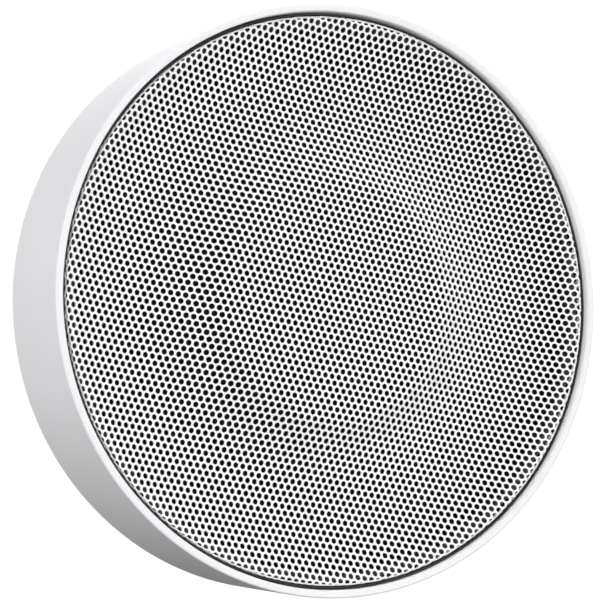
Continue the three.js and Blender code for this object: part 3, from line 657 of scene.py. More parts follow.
def grilleSection(flat):
    # Radius, y and outward normal of the sheet's face for each distance from the centre of the flat blank:
    # the dished face as far as the fold, then round the fold, then straight back
    v = grilleValues
    foldCentre = grilleRadius - v["fold"]
    outerCurve = (foldCentre - v["troughRadius"]) ** 2 / (2 * (v["troughDepth"] + v["edgeRise"]))
    foldSlope = math.atan((foldCentre - v["troughRadius"]) / outerCurve)
    foldStart = foldCentre - v["fold"] * math.sin(foldSlope)
    startHeight = float(troughHeight(np.array([foldStart]))[0][0])
    disc = rimPlane + v["discSink"]
    foldAxis = disc - startHeight + v["fold"] * math.cos(foldSlope)
    sweep = math.pi / 2 + foldSlope
    height, slope = troughHeight(flat)
    long = np.hypot(1, slope)
    face = np.stack([flat, disc - height, -slope / long, -1 / long], -1)
    angle = np.clip(sweep - (flat - foldStart) / v["fold"], 0, sweep)
    bend = np.stack([
        foldCentre + v["fold"] * np.cos(angle),
        foldAxis - v["fold"] * np.sin(angle),
        np.cos(angle),
        -np.sin(angle),
    ], -1)
    past = np.clip(flat - foldStart - v["fold"] * sweep, 0, None)
    bend[:, 1] += past
    return np.where((flat < foldStart)[:, None], face, bend), foldStart + v["fold"] * sweep


def makeGrille():
    v = grilleValues
    pitch, sides = v["pitch"], v["sides"]
    blank = float(grilleSection(np.zeros(1))[1]) + v["foldDepth"]
    reach = int(blank / pitch * 1.2) + 3
    i, j = np.meshgrid(np.arange(-reach, reach + 1), np.arange(-reach, reach + 1), indexing="ij")
    turn = math.radians(v["rowTurn"])
    first = pitch * np.array([math.cos(turn), math.sin(turn)])
    second = pitch * np.array([math.cos(turn + tau / 6), math.sin(turn + tau / 6)])
    centres = i[..., None] * first + j[..., None] * second
    inside = np.hypot(centres[..., 0], centres[..., 1]) < blank
    number = np.arange(inside.size).reshape(inside.shape)
    angle = turn + np.arange(sides) * tau / sides
    rim = np.stack([np.cos(angle), np.sin(angle)], -1) * v["hole"] / 2
    flat = (centres[:, :, None, :] + rim).reshape(-1, 2)

    # The web between three neighbouring holes: a triangle in the middle and a quad to each pair
    def corner(di, dj, k):
        n = number[1:-1, 1:-1] if (di, dj) == (0, 0) else np.roll(number, (-di, -dj), (0, 1))[1:-1, 1:-1]
        return n * sides + k % sides

    def kept(*steps):
        mask = np.ones_like(inside[1:-1, 1:-1])
        for di, dj in steps:
            mask &= np.roll(inside, (-di, -dj), (0, 1))[1:-1, 1:-1]
        return mask

    tris, quads, triReach, quadReach = [], [], [], []
    distance = np.hypot(flat[:, 0], flat[:, 1])
    step = sides // 6
    half = step // 2
    for corners, start in ((((0, 0), (1, 0), (0, 1)), 0), (((1, 0), (1, 1), (0, 1)), step)):
        mask = kept(*corners)
        a, b, c = [
            [corner(*corners[n], start + n * 2 * step + k)[mask] for k in (0, half, step)]
            for n in range(3)
        ]
        tris.append(np.stack([a[1], b[1], c[1]], -1))
        triReach.append(distance[tris[-1]].mean(1))
        quadReach += [triReach[-1]] * 3
        quads.append(np.stack([a[0], b[2], b[1], a[1]], -1))
        quads.append(np.stack([b[0], c[2], c[1], b[1]], -1))
        quads.append(np.stack([c[0], a[2], a[1], c[1]], -1))
    tris, quads = np.concatenate(tris), np.concatenate(quads)
    triReach, quadReach = np.concatenate(triReach), np.concatenate(quadReach)

    section = grilleSection(distance)[0]
    outward = flat / np.maximum(distance, 1e-9)[:, None]
    front = np.stack([section[:, 0] * outward[:, 0], section[:, 1], section[:, 0] * outward[:, 1]], -1)
    normal = np.stack([section[:, 2] * outward[:, 0], section[:, 3], section[:, 2] * outward[:, 1]], -1)
    back = front - normal * v["sheet"]

    points = np.concatenate([front, back])
    total = len(front)
    for name, wanted in (("grille_centre", True), ("grille_edge", False)):
        t = tris[(triReach < v["split"]) == wanted]
        q = quads[(quadReach < v["split"]) == wanted]
        edges = np.concatenate([t[:, [0, 1]], t[:, [1, 2]], t[:, [2, 0]],
                                q[:, [0, 1]], q[:, [1, 2]], q[:, [2, 3]], q[:, [3, 0]]])
        # an edge that no neighbour runs along the other way is on a hole or on the outline, and gets a wall
        ways = edges[:, 0].astype(np.int64) * total + edges[:, 1]
        returns = edges[:, 1].astype(np.int64) * total + edges[:, 0]
        freeEdges = edges[~np.isin(ways, returns)]
        a, b = freeEdges.T
        walls = np.stack([b, a, a + total, b + total], -1)
        faces = [t, t[:, ::-1] + total, q, q[:, ::-1] + total, walls]
        used = np.unique(np.concatenate([f.reshape(-1) for f in faces]))
        lookup = np.full(len(points), -1)
        lookup[used] = np.arange(len(used))
        sheet = meshObject(name, points[used], [lookup[f] for f in faces], grillePaint, 50)
        place(sheet, "speaker", "grille_paint", "grille")


# Shells

housingValues = {
    "rimRound": 0.35,
    "backRound": 0.9,
    "ledgeWidth": 1.4,
    "ledgeThickness": 1.2,
    "shelfWidth": 2.4,
    "shelfThickness": 2.0,
    "flare": 0.25,  # rounding of the openings' edges
    # angle, length round the drum and height of each opening
    "socketSlot": (270, 9.6, 3.8),
    "buttonHole": (295, 6.6, 6.6),
    "sliderSlot": (338, 7.1, 2.8),
}

coverValues = {
    "face": high("back_cover", 1),
    "edge": 58.1,
    "thickness": 2.0,
    "recess": 35.0,
    "recessDrop": 2.2,
    "recessFloor": 1.8,
    "cornerRound": 0.5,
    "screwCircle": 49.0,
    "screwAngles": (45, 135, 225, 315),
    "screwBore": 2.9,
    "screwDrop": 1.2,
    "shaftBore": 1.5,
    "magnetCircle": 24.0,
    "magnetPocket": 5.3,
    "magnetCup": 6.7,
    "boardAngles": (202, 284, 334),
    "boardCircle": 42.0,
    "standoff": 2.5,
}
controlPlane = (low("pair_button", 1) + high("pair_button", 1)) / 2
socketPlane = (low("power_socket", 1) + high("power_socket", 1)) / 2


def portCutter(name, opening, y):
    angle, length, height = opening
    flare = housingValues["flare"]
    stations = [(drumBore - 3, 0)]
    for k in range(5):
        turn = k / 4 * math.pi / 2
        stations.append((drumRadius - flare * (1 - math.sin(turn)), flare * (1 - math.cos(turn))))
    stations.append((drumRadius + 0.3, flare))
    return pillBar(name, length, height, stations, shellWhite, angle, y)


def straightenNormals(obj, radius):
    # On the drum's side every corner's normal runs straight out from the axis, whatever was cut beside it
    mesh = obj.data
    co = np.empty(len(mesh.vertices) * 3, np.float32)
    mesh.vertices.foreach_get("co", co)
    co = co.reshape(-1, 3)
    corner = np.empty(len(mesh.loops), np.int32)
    mesh.loops.foreach_get("vertex_index", corner)
    total = np.empty(len(mesh.polygons), np.int32)
    mesh.polygons.foreach_get("loop_total", total)
    facing = np.empty(len(mesh.polygons) * 3, np.float32)
    mesh.polygons.foreach_get("normal", facing)
    facing = np.repeat(facing.reshape(-1, 3), total, axis=0)
    reach = np.hypot(co[:, 0], co[:, 2])[:, None]
    out = (co * [1, 0, 1] / np.maximum(reach, 1e-6))[corner]
    onSide = (np.abs(reach[corner, 0] - radius) < 0.008) & (np.sum(out * facing, 1) > 0.99)
    mesh.normals_split_custom_set((out * onSide[:, None]).tolist())


def makeHousing():
    v = housingValues
    shelfFront = high("seal_ring", 1) + 0.1
    shelfBack = shelfFront + v["shelfThickness"]
    shelfBore = drumBore - v["shelfWidth"]
    ledgeBack = coverValues["face"] - coverValues["thickness"] - 0.1
    ledgeFront = ledgeBack - v["ledgeThickness"]
    ledgeBore = drumBore - v["ledgeWidth"]
    rim, back = v["rimRound"], v["backRound"]
    outline = [
        (drumBore, rimPlane, rim),
        (drumRadius, rimPlane, rim),
        (drumRadius, backEdge, back),
        (drumBore, backEdge, 0.2),
        (drumBore, ledgeBack, 0),
        (ledgeBore, ledgeBack, 0.2),
        (ledgeBore, ledgeFront, 0.2),
        (drumBore, ledgeFront - v["ledgeWidth"], 0),
        (drumBore, shelfBack, 0),
        (shelfBore, shelfBack, 0.2),
        (shelfBore, shelfFront, 0.2),
        (drumBore, shelfFront, 0),
    ]
    housing = turned("housing_shell", rounded(outline), shellWhite, 256)
    carve(housing, [
        portCutter("socketCutter", v["socketSlot"], socketPlane),
        portCutter("buttonCutter", v["buttonHole"], controlPlane),
        portCutter("sliderCutter", v["sliderSlot"], controlPlane),
    ])
    straightenNormals(housing, drumRadius)
    place(housing, "speaker", "shell_white", "housing")


def makeCover():
    # A flat ring with a dished middle; cups for the holding magnets, standoffs for the board, screw holes
    v = coverValues
    face, inside = v["face"], v["face"] - v["thickness"]
    recessFace = face - v["recessDrop"]
    recessInside = recessFace - v["recessFloor"]
    corner = v["cornerRound"]
    outline = [
        (0, recessInside, 0),
        (v["recess"] + v["thickness"], recessInside, corner),
        (v["recess"] + v["thickness"], inside, 0.3),
        (v["edge"], inside, 0.2),
        (v["edge"], face, 0.3),
        (v["recess"], face, corner),
        (v["recess"], recessFace, corner),
        (0, recessFace, 0),
    ]
    cover = turned("cover_shell", rounded(outline), coverWhite, 192)
    pocketFloor = recessFace - 0.8
    pocketTop = pocketFloor - 2.8
    boardBack = high("main_board", 1)
    cups = [peg("cup", v["magnetCup"], pocketTop, recessInside + 0.5, onCircle(v["magnetCircle"], a))
            for a in v["screwAngles"]]
    standoffs = [peg("standoff", v["standoff"], boardBack + 0.1, inside + 0.5, onCircle(v["boardCircle"], a))
                 for a in v["boardAngles"]]
    carve(cover, cups + standoffs, "UNION")
    pockets = [peg("pocket", v["magnetPocket"], pocketTop - 1, pocketFloor, onCircle(v["magnetCircle"], a))
               for a in v["screwAngles"]]
    pilots = [peg("pilot", 1.0, boardBack - 1, boardBack + 4, onCircle(v["boardCircle"], a), 24)
              for a in v["boardAngles"]]
    drop, flare = face - v["screwDrop"], 0.25
    screwHole = [
        (0, inside - 1),
        (v["shaftBore"], inside - 1),
        (v["shaftBore"], drop),
        (v["screwBore"], drop),
        (v["screwBore"], face - flare),
        (v["screwBore"] + flare, face),
        (v["screwBore"] + flare, face + 1),
        (0, face + 1),
    ]
    holes = [turned("hole", screwHole, coverWhite, 48, onCircle(v["screwCircle"], a))
             for a in v["screwAngles"]]
    carve(cover, pockets + pilots + holes)
    place(cover, "speaker", "cover_white", "back_cover")


# Wall side: the plate fixed to the wall by a pad of adhesive foam, and the rubber ring that grips it

wallValues = {
    "holeSpacing": 36.0,
    "plateHole": 2.2,
    "countersink": 1.0,
    "padHole": 3.2,
    "edgeRound": 0.3,
    "gripBore": 30.0,
    "ribs": 4,
    "ribDepth": 0.12,
}


def makeWallSide():
    v = wallValues
    places = [(-v["holeSpacing"] / 2, 0), (v["holeSpacing"] / 2, 0)]

    front, back = span("adhesive_pad")
    outline = ringOutline(0, high("adhesive_pad", 0), front, back, v["edgeRound"])
    pad = turned("adhesive_foam", outline, foamDark)
    carve(pad, [peg("padHole", v["padHole"], front - 1, back + 1, at) for at in places])
    place(pad, "wall_mount", "foam_dark", "adhesive_pad")

    radius = high("wall_plate", 0)
    front, back = span("wall_plate")
    outline = [(0, front, 0), (radius, front, 0.4), (radius, back, 0.2), (0, back, 0)]
    plate = turned("mount_plate", rounded(outline), steelZinc)
    wide, narrow = v["plateHole"] + v["countersink"], v["plateHole"]
    sink = [
        (0, front - 1),
        (wide + 0.1, front - 1),
        (wide + 0.1, front),
        (narrow, front + v["countersink"]),
        (narrow, back + 1),
        (0, back + 1),
    ]
    carve(plate, [turned("sink", sink, steelZinc, 48, at) for at in places])
    place(plate, "wall_mount", "steel_zinc", "wall_plate")

    inner, outer = v["gripBore"], high("grip_ring", 0)
    front, back = span("grip_ring")
    # Back face: ribs as a raised cosine across the ring's width
    across = np.linspace(inner, outer, 33)
    phase = (across - inner) / (outer - inner) * v["ribs"]
    ribbed = back - v["ribDepth"] * (1 + np.cos(tau * phase)) / 2
    profile = [(inner, front), *zip(across, ribbed), (outer, front)]
    grip = turned("grip_band", profile, rubberGrey)
    place(grip, "speaker", "rubber_grey", "grip_ring")


# Screws: a rounded head with a cross recess, and a threaded shaft

threadCut = 0.16  # share of the shaft's radius between the thread's ridge and its root
crossHalfWidth = 0.32
crossTurn = 20  # degrees

screwKinds = {
    # head radius, head height, shaft radius, thread pitch, recess reach, start of the nodes' names, count
    "case": (2.6, 1.1, 1.2, 0.9, 1.5, "case_screw_", 4),
    "driver": (1.9, 1.2, 0.9, 0.7, 1.15, "driver_screw_", 4),
    "board": (1.9, 1.0, 0.9, 0.7, 1.15, "board_screw_", 3),
}


def makeScrews():
    # Shaft radius is cut by a triangle wave of (depth / pitch - angle / turn), so the ridge winds round it
    segments = 36
    for kind, (head, headHeight, shaft, pitch, recess, prefix, count) in screwKinds.items():
        for n in range(1, count + 1):
            node = f"{prefix}{n}"
            x, z = middle(node)
            # the head is at the end nearer the wall, except on the board, whose screws come from the front
            tip, top = span(node)
            side = -1
            if kind == "board":
                top, tip = span(node)
                side = 1
            length = abs(tip - top)
            headEnd = [(0, 0.05), (head - 0.45, 0.05), (head - 0.2, 0.12), (head - 0.04, 0.3), (head, 0.5),
                       (head, headHeight - 0.1), (head - 0.1, headHeight)]
            rings = int((length - headHeight - 0.8) / pitch * 6)
            depth = np.linspace(headHeight, length - 0.8, rings)
            body = [(shaft, d) for d in depth]
            profile = [*headEnd, (shaft, headHeight), *body[1:], (0.35 * shaft, length - 0.05), (0, length)]
            points = [(r, top + side * d) for r, d in profile]
            flat, quads = turnedMesh(points, segments)
            spun = flat.reshape(-1, segments, 3)
            angle = np.arctan2(spun[..., 2], spun[..., 0])
            radius = np.hypot(spun[..., 0], spun[..., 2])
            onShaft = np.abs(radius - shaft) < 0.01
            wave = np.abs((np.abs(spun[..., 1] - top) / pitch - angle / tau) % 1 * 2 - 1)
            cut = np.where(onShaft, 1 - threadCut * wave, 1)
            spun[..., 0] *= cut
            spun[..., 2] *= cut
            points, faces = packed(spun.reshape(-1, 3), quads)
            points = points + np.array([x, 0, z])
            screw = meshObject(f"{kind}_screw_{n}_threaded", points, faces, steelScrew, 40)
            arms = [crossArm(recess, headHeight * 0.8, top, side, (x, z), turn) for turn in (0, 90)]
            carve(screw, arms)
            place(screw, "speaker", "steel_screw", node)


def crossArm(reach, depth, top, side, at, turn):
    # One arm of the recess: a bar that narrows towards its floor
    a = math.radians(turn + crossTurn)
    half = crossHalfWidth
    rows = []
    for sink, long in ((-0.3, reach * 1.15), (depth, reach * 0.45)):
        for u, w in ((-long, -half), (long, -half), (long, half), (-long, half)):
            rows.append((at[0] + u * math.cos(a) - w * math.sin(a), top + side * sink,
                         at[1] + u * math.sin(a) + w * math.cos(a)))
    faces = [np.array([[0, 1, 2, 3], [4, 5, 6, 7], [0, 1, 5, 4], [1, 2, 6, 5], [2, 3, 7, 6], [3, 0, 4, 7]])]
    return facingOut(meshObject("arm", np.array(rows), faces, steelScrew))


# Controls in the drum's wall

controlValues = {
    "buttonAngle": housingValues["buttonHole"][0],
    "buttonRadius": 3.0,
    "buttonSink": 0.2,
    "buttonDish": 0.15,
    "buttonFlange": 0.8,
    "flangeThickness": 0.7,
    "sliderAngle": housingValues["sliderSlot"][0],
    "sliderLength": 4.0,
    "sliderHeight": 2.2,
    "sliderProud": 0.15,
    "sliderTravel": 2.5,
    "skirtReach": 1.6,
    "skirtThickness": 0.8,
    "grooves": 3,
    "grooveSpacing": 0.8,
    "grooveWidth": 0.35,
    "grooveDepth": 0.25,
    "socketAngle": housingValues["socketSlot"][0],
    "socketSink": 0.6,
    "socketLength": 7.3,
    "socketWidth": 9.0,
    "socketHeight": 3.2,
    "socketWall": 0.3,
    "tongueWidth": 6.7,
    "tongueHeight": 0.7,
    "tongueLength": 5.0,
    "contacts": 12,
    "contactPitch": 0.5,
    "contactSize": (3.4, 0.08, 0.25),
}


def makeButton():
    v = controlValues
    radius, flange = v["buttonRadius"], v["buttonRadius"] + v["buttonFlange"]
    face = drumRadius - v["buttonSink"]
    flangeTop = math.sqrt(drumBore**2 - flange**2) - 0.3
    dish = [(radius * share, face - v["buttonDish"] * (1 - share**2), 0) for share in (0, 0.25, 0.5, 0.75)]
    outline = [
        *dish,
        (radius, face, 0.35),
        (radius, flangeTop, 0),
        (flange, flangeTop, 0.15),
        (flange, flangeTop - v["flangeThickness"], 0.15),
        (0, flangeTop - v["flangeThickness"], 0),
    ]
    button = portTurned("button_cap", rounded(outline), shellWhite, v["buttonAngle"], controlPlane)
    place(button, "pair_button", "shell_white", "pair_button")


def makeSlider():
    v = controlValues
    angle, rest = v["sliderAngle"], -v["sliderTravel"] / 2
    long = v["sliderLength"] + 2 * v["sliderTravel"] + 2 * v["skirtReach"]
    reach = long / 2 + v["sliderTravel"] / 2
    skirtTop = math.sqrt(drumBore**2 - reach**2) - 0.3
    skirtEnd = skirtTop - v["skirtThickness"]
    face = drumRadius + v["sliderProud"]
    soft = 0.25
    stations = [(skirtEnd + 0.1, 0)]
    for k in range(6):
        turn = k / 5 * math.pi / 2
        stations.append((face - soft * (1 - math.sin(turn)), -soft * (1 - math.cos(turn))))
    length, height = v["sliderLength"], v["sliderHeight"]
    knob = pillBar("slider_knob", length, height, stations, shellWhite, angle, controlPlane, rest)
    skirtSize = (v["skirtThickness"], v["sliderHeight"] + 2 * v["skirtReach"], long)
    skirt = portBox("skirt", skirtSize, ((skirtTop + skirtEnd) / 2, 0, rest), angle, controlPlane, 0.15)
    carve(knob, [skirt], "UNION")
    grooves = []
    for n in range(v["grooves"]):
        z = rest + (n - (v["grooves"] - 1) / 2) * v["grooveSpacing"]
        size = (2 * v["grooveDepth"], v["sliderHeight"] + 1, v["grooveWidth"])
        grooves.append(portBox("groove", size, (face, 0, z), angle, controlPlane, 0.1))
    carve(knob, grooves)
    place(knob, "mute_slider", "shell_white", "mute_slider")


def makeSocket():
    # The shell's section runs forwards outside, round the mouth, and back inside
    v = controlValues
    angle, wall = v["socketAngle"], v["socketWall"]
    mouth = drumRadius - v["socketSink"]
    back = mouth - v["socketLength"]
    stations = [
        (back, -0.2),
        (back + 0.2, 0),
        (mouth - 0.1, 0),
        (mouth - 0.03, -0.03),
        (mouth, -0.1),
        (mouth, -wall + 0.1),
        (mouth - 0.03, -wall + 0.03),
        (mouth - 0.1, -wall),
        (back + 1, -wall),
    ]
    width, height = v["socketWidth"], v["socketHeight"]
    shell = pillBar("socket_shell", width, height, stations, steelZinc, angle, socketPlane)
    place(shell, "speaker", "steel_zinc", "power_socket")
    start, end = back + 1.05, back + 1 + v["tongueLength"]
    size = (end - start, v["tongueHeight"], v["tongueWidth"])
    tongue = portBox("socket_tongue", size, ((start + end) / 2, 0, 0), angle, socketPlane, 0.12, plasticBlack)
    place(tongue, "speaker", "plastic_black", "power_socket")
    # contacts in two rows, on the tongue's front and back faces, as one mesh of small bars
    spots = (np.arange(v["contacts"]) - (v["contacts"] - 1) / 2) * v["contactPitch"]
    centre, lift = end - 2.1, v["tongueHeight"] / 2 + 0.02
    bars = [
        portBox("contact", v["contactSize"], (centre, side * lift, at), angle, socketPlane, 0.02, copperWire)
        for side in (-1, 1)
        for at in spots
    ]
    contacts = joined("socket_contacts", bars, copperWire)
    place(contacts, "speaker", "copper", "power_socket")


# Front stack: black baffle with a skirt round the grille's edge, cloth over it, foam ring behind it

frontValues = {
    "opening": 22.6,
    "edge": 58.1,
    "lipOuter": 57.0,
    "lipWall": 1.6,
    "lipFront": -26.74,
    "skirtWall": 0.3,
    "skirtFront": rimPlane + 1.3,
    "postRadius": 3.0,
    "pilot": 1.3,
    "driverCircle": 27.4,
    "micCircle": 43.0,
    "micAngles": (60, 120),
    "micPort": 0.6,
    "lightCircle": 50.0,
    "lightHole": 1.6,
    "clothRadius": 55.1,
    "clothPull": 0.06,  # how far the cloth rises and falls between its threads' ridges
}


def makeBaffle():
    v = frontValues
    front = high("acoustic_cloth", 1) + 0.1
    back = front + 2
    coverInside = coverValues["face"] - coverValues["thickness"]
    outline = [
        (v["opening"], front + 0.6, 0.2),
        (v["opening"] + 0.6, front, 0.2),
        (v["lipOuter"] - v["lipWall"], front, 0),
        (v["lipOuter"] - v["lipWall"], v["lipFront"], 0.2),
        (v["lipOuter"], v["lipFront"], 0.2),
        (v["lipOuter"], front, 0),
        (v["edge"] - v["skirtWall"], front, 0),
        (v["edge"] - v["skirtWall"], v["skirtFront"], 0.1),
        (v["edge"], v["skirtFront"], 0.1),
        (v["edge"], back, 0.2),
        (v["opening"], back, 0.2),
    ]
    baffle = turned("baffle_frame", rounded(outline), plasticBlack, 256)
    screwPlaces = [onCircle(coverValues["screwCircle"], a) for a in coverValues["screwAngles"]]
    posts = [peg("post", v["postRadius"], back - 0.5, coverInside - 0.1, at) for at in screwPlaces]
    carve(baffle, posts, "UNION")
    tools = [peg("pilot", v["pilot"], coverInside - 9, coverInside + 1, at, 24) for at in screwPlaces]
    for a in coverValues["screwAngles"]:
        tools.append(peg("driverPilot", 1.0, back - 1.5, back + 1, onCircle(v["driverCircle"], a), 24))
    for a in v["micAngles"]:
        tools.append(peg("micPort", v["micPort"], front - 1, back + 1, onCircle(v["micCircle"], a), 24))
    tools.append(peg("lightHole", v["lightHole"], front - 1, back + 1, onCircle(v["lightCircle"], 90), 24))
    carve(baffle, tools)
    place(baffle, "speaker", "plastic_black", "baffle")


def makeCloth():
    # A disc of cloth pulled flat: y = middle + pull * product of two slow sines, faded to nothing at the edge
    v = frontValues
    front, back = span("acoustic_cloth")
    rings, segments = 48, 144
    share = np.linspace(0, 1, rings + 1)[1:]
    angle = np.arange(segments) * tau / segments
    radius = v["clothRadius"] * share[:, None]
    x, z = radius * np.cos(angle), radius * np.sin(angle)
    lift = v["clothPull"] * np.sin(x / 4.5) * np.sin(z / 5.5) * (1 - share[:, None] ** 4)
    sheets = []
    for y in (front + v["clothPull"], back - v["clothPull"]):
        sheet = np.stack([x, y + lift, z], -1).reshape(-1, 3)
        sheets.append(np.concatenate([sheet, [[0, y, 0]]]))
    grid = np.arange(rings * segments).reshape(rings, segments)
    ahead = np.roll(grid, -1, 1)
    quads = np.stack([grid[:-1], grid[1:], ahead[1:], ahead[:-1]], -1).reshape(-1, 4)
    hub = rings * segments
    tris = np.stack([np.full(segments, hub), grid[0], ahead[0]], -1)
    total = hub + 1
    edge = np.stack([grid[-1], grid[-1] + total, ahead[-1] + total, ahead[-1]], -1)
    faces = [quads, quads[:, ::-1] + total, edge, tris, tris[:, ::-1] + total]
    cloth = meshObject("acoustic_cloth_sheet", np.concatenate(sheets), faces, clothBlack)
    place(cloth, "speaker", "cloth_black", "acoustic_cloth")


# Loudspeaker driver, behind the baffle. Depths are from the front of its flange

driverValues = {
    "flangeFront": low("basket", 1),
    "flange": 29.5,
    "flangeThickness": 1.0,
    "bore": 21.6,
    "baseDepth": 6.5,
    "base": 18.2,
    "sheet": 0.8,
    "windowWidth": 13.0,
    "windowFrom": 2.0,
    "windowTo": 5.4,
    "coneRadius": 18.6,
    "coneLip": 1.4,
    "coneDrop": 4.4,
    "coneSheet": 0.5,
    "capRadius": 9.6,
    "capHeight": 2.4,
    "roll": 1.6,
    "rollSheet": 0.5,
    "lip": 23.1,
    "coil": 7.5,
    "former": 0.3,
    "winding": 0.6,
    "wire": 0.3,
    "formerLength": 6.6,
    "windingLength": 3.3,
    "screwBore": 1.2,
    "waves": 5,  # odd, so that one has its crest halfway
    "waveHeight": 1.0,
    "spiderDepth": 5.25,
    "spiderSheet": 0.3,
    "collar": 0.7,
}


def makeDriver():
    v = driverValues
    zero = v["flangeFront"]

    def atDepth(outline):
        return [(r, zero + y, *soft) for r, y, *soft in outline]

    def arcs(centre, level, radius, start, end, steps=16):
        turns = np.linspace(start, end, steps + 1)
        return [(centre + radius * math.cos(t), level - radius * math.sin(t)) for t in turns]

    base = v["baseDepth"] + v["sheet"]
    outline = [
        (v["bore"], 0, 0.2),
        (v["flange"], 0, 0.2),
        (v["flange"], v["flangeThickness"], 0.2),
        (v["bore"] + 1, v["flangeThickness"], 0.6),
        (v["base"], base, 0.8),
        (9.6, base, 0.1),
        (9.6, v["baseDepth"], 0.1),
        (v["base"] - v["sheet"], v["baseDepth"], 0.5),
        (v["bore"], v["flangeThickness"] / 2, 0.3),
    ]
    basket = turned("driver_basket", rounded(atDepth(outline)), steelBlack, 128)
    tall = v["windowTo"] - v["windowFrom"]
    centreDepth = zero + v["windowFrom"] + tall / 2
    size, centre = (v["flange"], tall, v["windowWidth"]), (v["flange"], 0, 0)
    windows = [portBox("window", size, centre, a, centreDepth, 0.6) for a in (0, 90, 180, 270)]
    circle = frontValues["driverCircle"]
    holes = [peg("hole", v["screwBore"], zero - 1, zero + 2, onCircle(circle, a), 24)
             for a in coverValues["screwAngles"]]
    carve(basket, windows + holes)
    place(basket, "speaker", "steel_black", "basket")

    # Surround: a half roll between two flat lips, in two rings that meet at its crest. The rings are placed
    # without being attached to either body
    lipBack = -0.1
    lipFront = lipBack - v["rollSheet"]
    centre = v["coneRadius"] + v["roll"] + 0.1
    over = [p for p in arcs(centre, lipBack, v["roll"], 0, math.pi / 2) if p[1] < lipFront]
    under = arcs(centre, lipBack, v["roll"] - v["rollSheet"], math.pi / 2, 0)
    lipRadius = v["coneRadius"] - v["coneLip"]
    for name, side, lip, bodies in (
        ("surround_outer", 1, v["lip"], ("speaker", "moving_coil")),
        ("surround_inner", -1, lipRadius, ("moving_coil", "speaker")),
    ):
        roll = [(centre + side * (r - centre), y) for r, y in [*over, *under]]
        half = turned(name, atDepth([(lip, lipBack), (lip, lipFront), *roll]), rubberBlack, 128)
        bridge(half, "surround")

    # Cone: its side bows inwards by a small sine between the lip and the neck
    neck = v["coil"] + v["former"] + 0.3
    share = np.linspace(0, 1, 17)
    radii = lipRadius + (neck - lipRadius) * share
    depth = v["coneDrop"] * share + 0.18 * np.sin(math.pi * share)
    front = [(v["coneRadius"], 0), *zip(radii, depth)]
    back = [(v["coneRadius"], v["coneSheet"]), *zip(radii, depth + v["coneSheet"])]
    cone = turned("paper_cone", atDepth([*front, *back[::-1]]), coneBlack, 128)
    place(cone, "moving_coil", "cone_black", "cone")

    coneAtCap = v["coneDrop"] * (lipRadius - v["capRadius"]) / (lipRadius - neck)
    capEdge = coneAtCap - 0.7
    spread = np.linspace(0, 1, 13)
    rise = capEdge - v["capHeight"] * (1 - spread**2)
    dome = list(zip(v["capRadius"] * spread, rise))
    under = list(zip(v["capRadius"] * spread, rise + 0.4))
    cap = turned("dust_dome", atDepth([*dome, *under[::-1]]), coneBlack, 96)
    place(cap, "moving_coil", "cone_black", "dust_cap")

    # Spider: corrugations, a cosine of the radius that swells to the middle one, in two rings that meet at
    # that crest. The outer ring stands on the basket by a collar
    inside, outside = neck, v["base"] - v["sheet"] - 0.3
    level, thick = v["spiderDepth"], v["spiderSheet"] / 2
    foot = level - thick
    collarInner, collarEnd = outside - v["collar"], v["baseDepth"] - 0.05
    collar = [(outside, foot), (outside, collarEnd), (collarInner, collarEnd), (collarInner, level + thick)]
    for name, start, bodies, extra in (
        ("spider_inner", 0, ("moving_coil", "speaker"), []),
        ("spider_outer", 0.5, ("speaker", "moving_coil"), collar),
    ):
        share = np.linspace(start, start + 0.5, 12 * v["waves"] + 1)
        across = inside + (collarInner - 0.3 - inside) * share
        swell = v["waveHeight"] * np.sin(math.pi * share)
        wave = level - swell * (1 - np.cos(tau * v["waves"] * share)) / 2
        profile = [*zip(across, wave - thick), *extra, *list(zip(across, wave + thick))[::-1]]
        ring = turned(name, atDepth(profile), spiderCloth, 128)
        bridge(ring, "spider")

    # Coil: the winding's outside is a row of half circles, one for each turn of wire
    coilFront = v["coneDrop"] - 0.3
    coilBack = coilFront + v["formerLength"]
    windingFront = coilBack - v["windingLength"]
    outerRadius = v["coil"] + v["former"] + v["winding"]
    turns = int(v["windingLength"] / v["wire"])
    rows = np.linspace(windingFront, coilBack, turns * 6 + 1)
    bulge = outerRadius - 0.08 + 0.08 * np.abs(np.sin(np.pi * (rows - windingFront) / v["wire"]))
    profile = [
        (v["coil"], coilFront),
        (v["coil"] + v["former"], coilFront),
        (v["coil"] + v["former"], windingFront),
        *zip(bulge, rows),
        (v["coil"], coilBack),
    ]
    coil = turned("coil_winding", atDepth(profile), copperWire, 96)
    place(coil, "moving_coil", "copper", "voice_coil")


# Small round parts: magnets, plates, foam rings and capacitor cans, with broken edges

roundValues = {
    "poleRadius": 7.2,
    "yokePlate": 1.8,
    "magnetRadius": 5.0,
    "canRadius": 2.6,
}

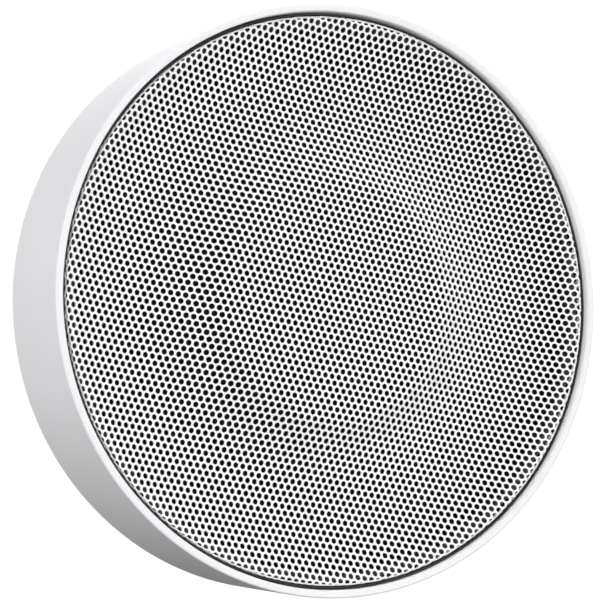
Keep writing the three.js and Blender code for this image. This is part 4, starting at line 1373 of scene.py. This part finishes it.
flatRings = [
    # node, new name, inner radius, edge rounding, material, slot
    ("seal_ring", "foam_seal", 56.3, 0.2, foamDark, "foam_dark"),
    ("driver_gasket", "foam_gasket", 23.4, 0.15, foamDark, "foam_dark"),
    ("top_plate", "motor_plate", 8.8, 0.2, steelZinc, "steel_zinc"),
    ("driver_magnet", "motor_magnet", 9.6, 0.25, nickelPlate, "nickel"),
]


def makeRoundParts():
    v = roundValues
    for node, name, inner, soft, material, slot in flatRings:
        outline = ringOutline(inner, high(node, 0), *span(node), soft)
        place(turned(name, outline, material, 160), "speaker", slot, node)

    outer = high("yoke", 0)
    front, back = span("yoke")
    plateFront = back - v["yokePlate"]
    outline = [
        (0, front, 0),
        (v["poleRadius"], front, 0.4),
        (v["poleRadius"], plateFront, 0.2),
        (outer, plateFront, 0.2),
        (outer, back, 0.3),
        (3, back, 0.2),
        (2.4, back - 0.5, 0.1),
        (0, back - 0.5, 0),
    ]
    place(turned("motor_yoke", rounded(outline), steelZinc, 128), "speaker", "steel_zinc", "yoke")

    for n in range(1, 5):
        node = f"hold_magnet_{n}"
        outline = ringOutline(0, v["magnetRadius"], *span(node), 0.25)
        magnet = turned(f"round_magnet_{n}", outline, nickelPlate, 64, middle(node))
        place(magnet, "speaker", "nickel", node)

    can = v["canRadius"]
    for n in (1, 2):
        node = f"capacitor_{n}"
        front, back = span(node)
        # a raised rim round the top, and a groove rolled in above the foot
        outline = [
            (0, front + 0.1, 0),
            (can - 0.5, front + 0.1, 0.1),
            (can - 0.4, front, 0.05),
            (can, front, 0.3),
            (can, back - 1.1, 0.15),
            (can - 0.25, back - 0.9, 0.1),
            (can, back - 0.7, 0.15),
            (can, back, 0.2),
            (0, back, 0),
        ]
        obj = turned(f"capacitor_can_{n}", rounded(outline), canAluminium, 64, middle(node))
        place(obj, "speaker", "can_aluminium", node)


makeCamera()
makeWorld()
for values in lightValues["lamps"]:
    makeLamp(*values)
makeFloor(floorPale)
bpy.context.scene.view_settings.view_transform = "Standard"
print("studio made")

makeGrille()
print("grille made")
makeHousing()
makeCover()
print("shells made")
makeWallSide()
makeScrews()
print("wall side and screws made")
makeButton()
makeSlider()
makeSocket()
print("controls made")
makeBaffle()
makeCloth()
makeDriver()
makeRoundParts()
print("front stack and driver made")
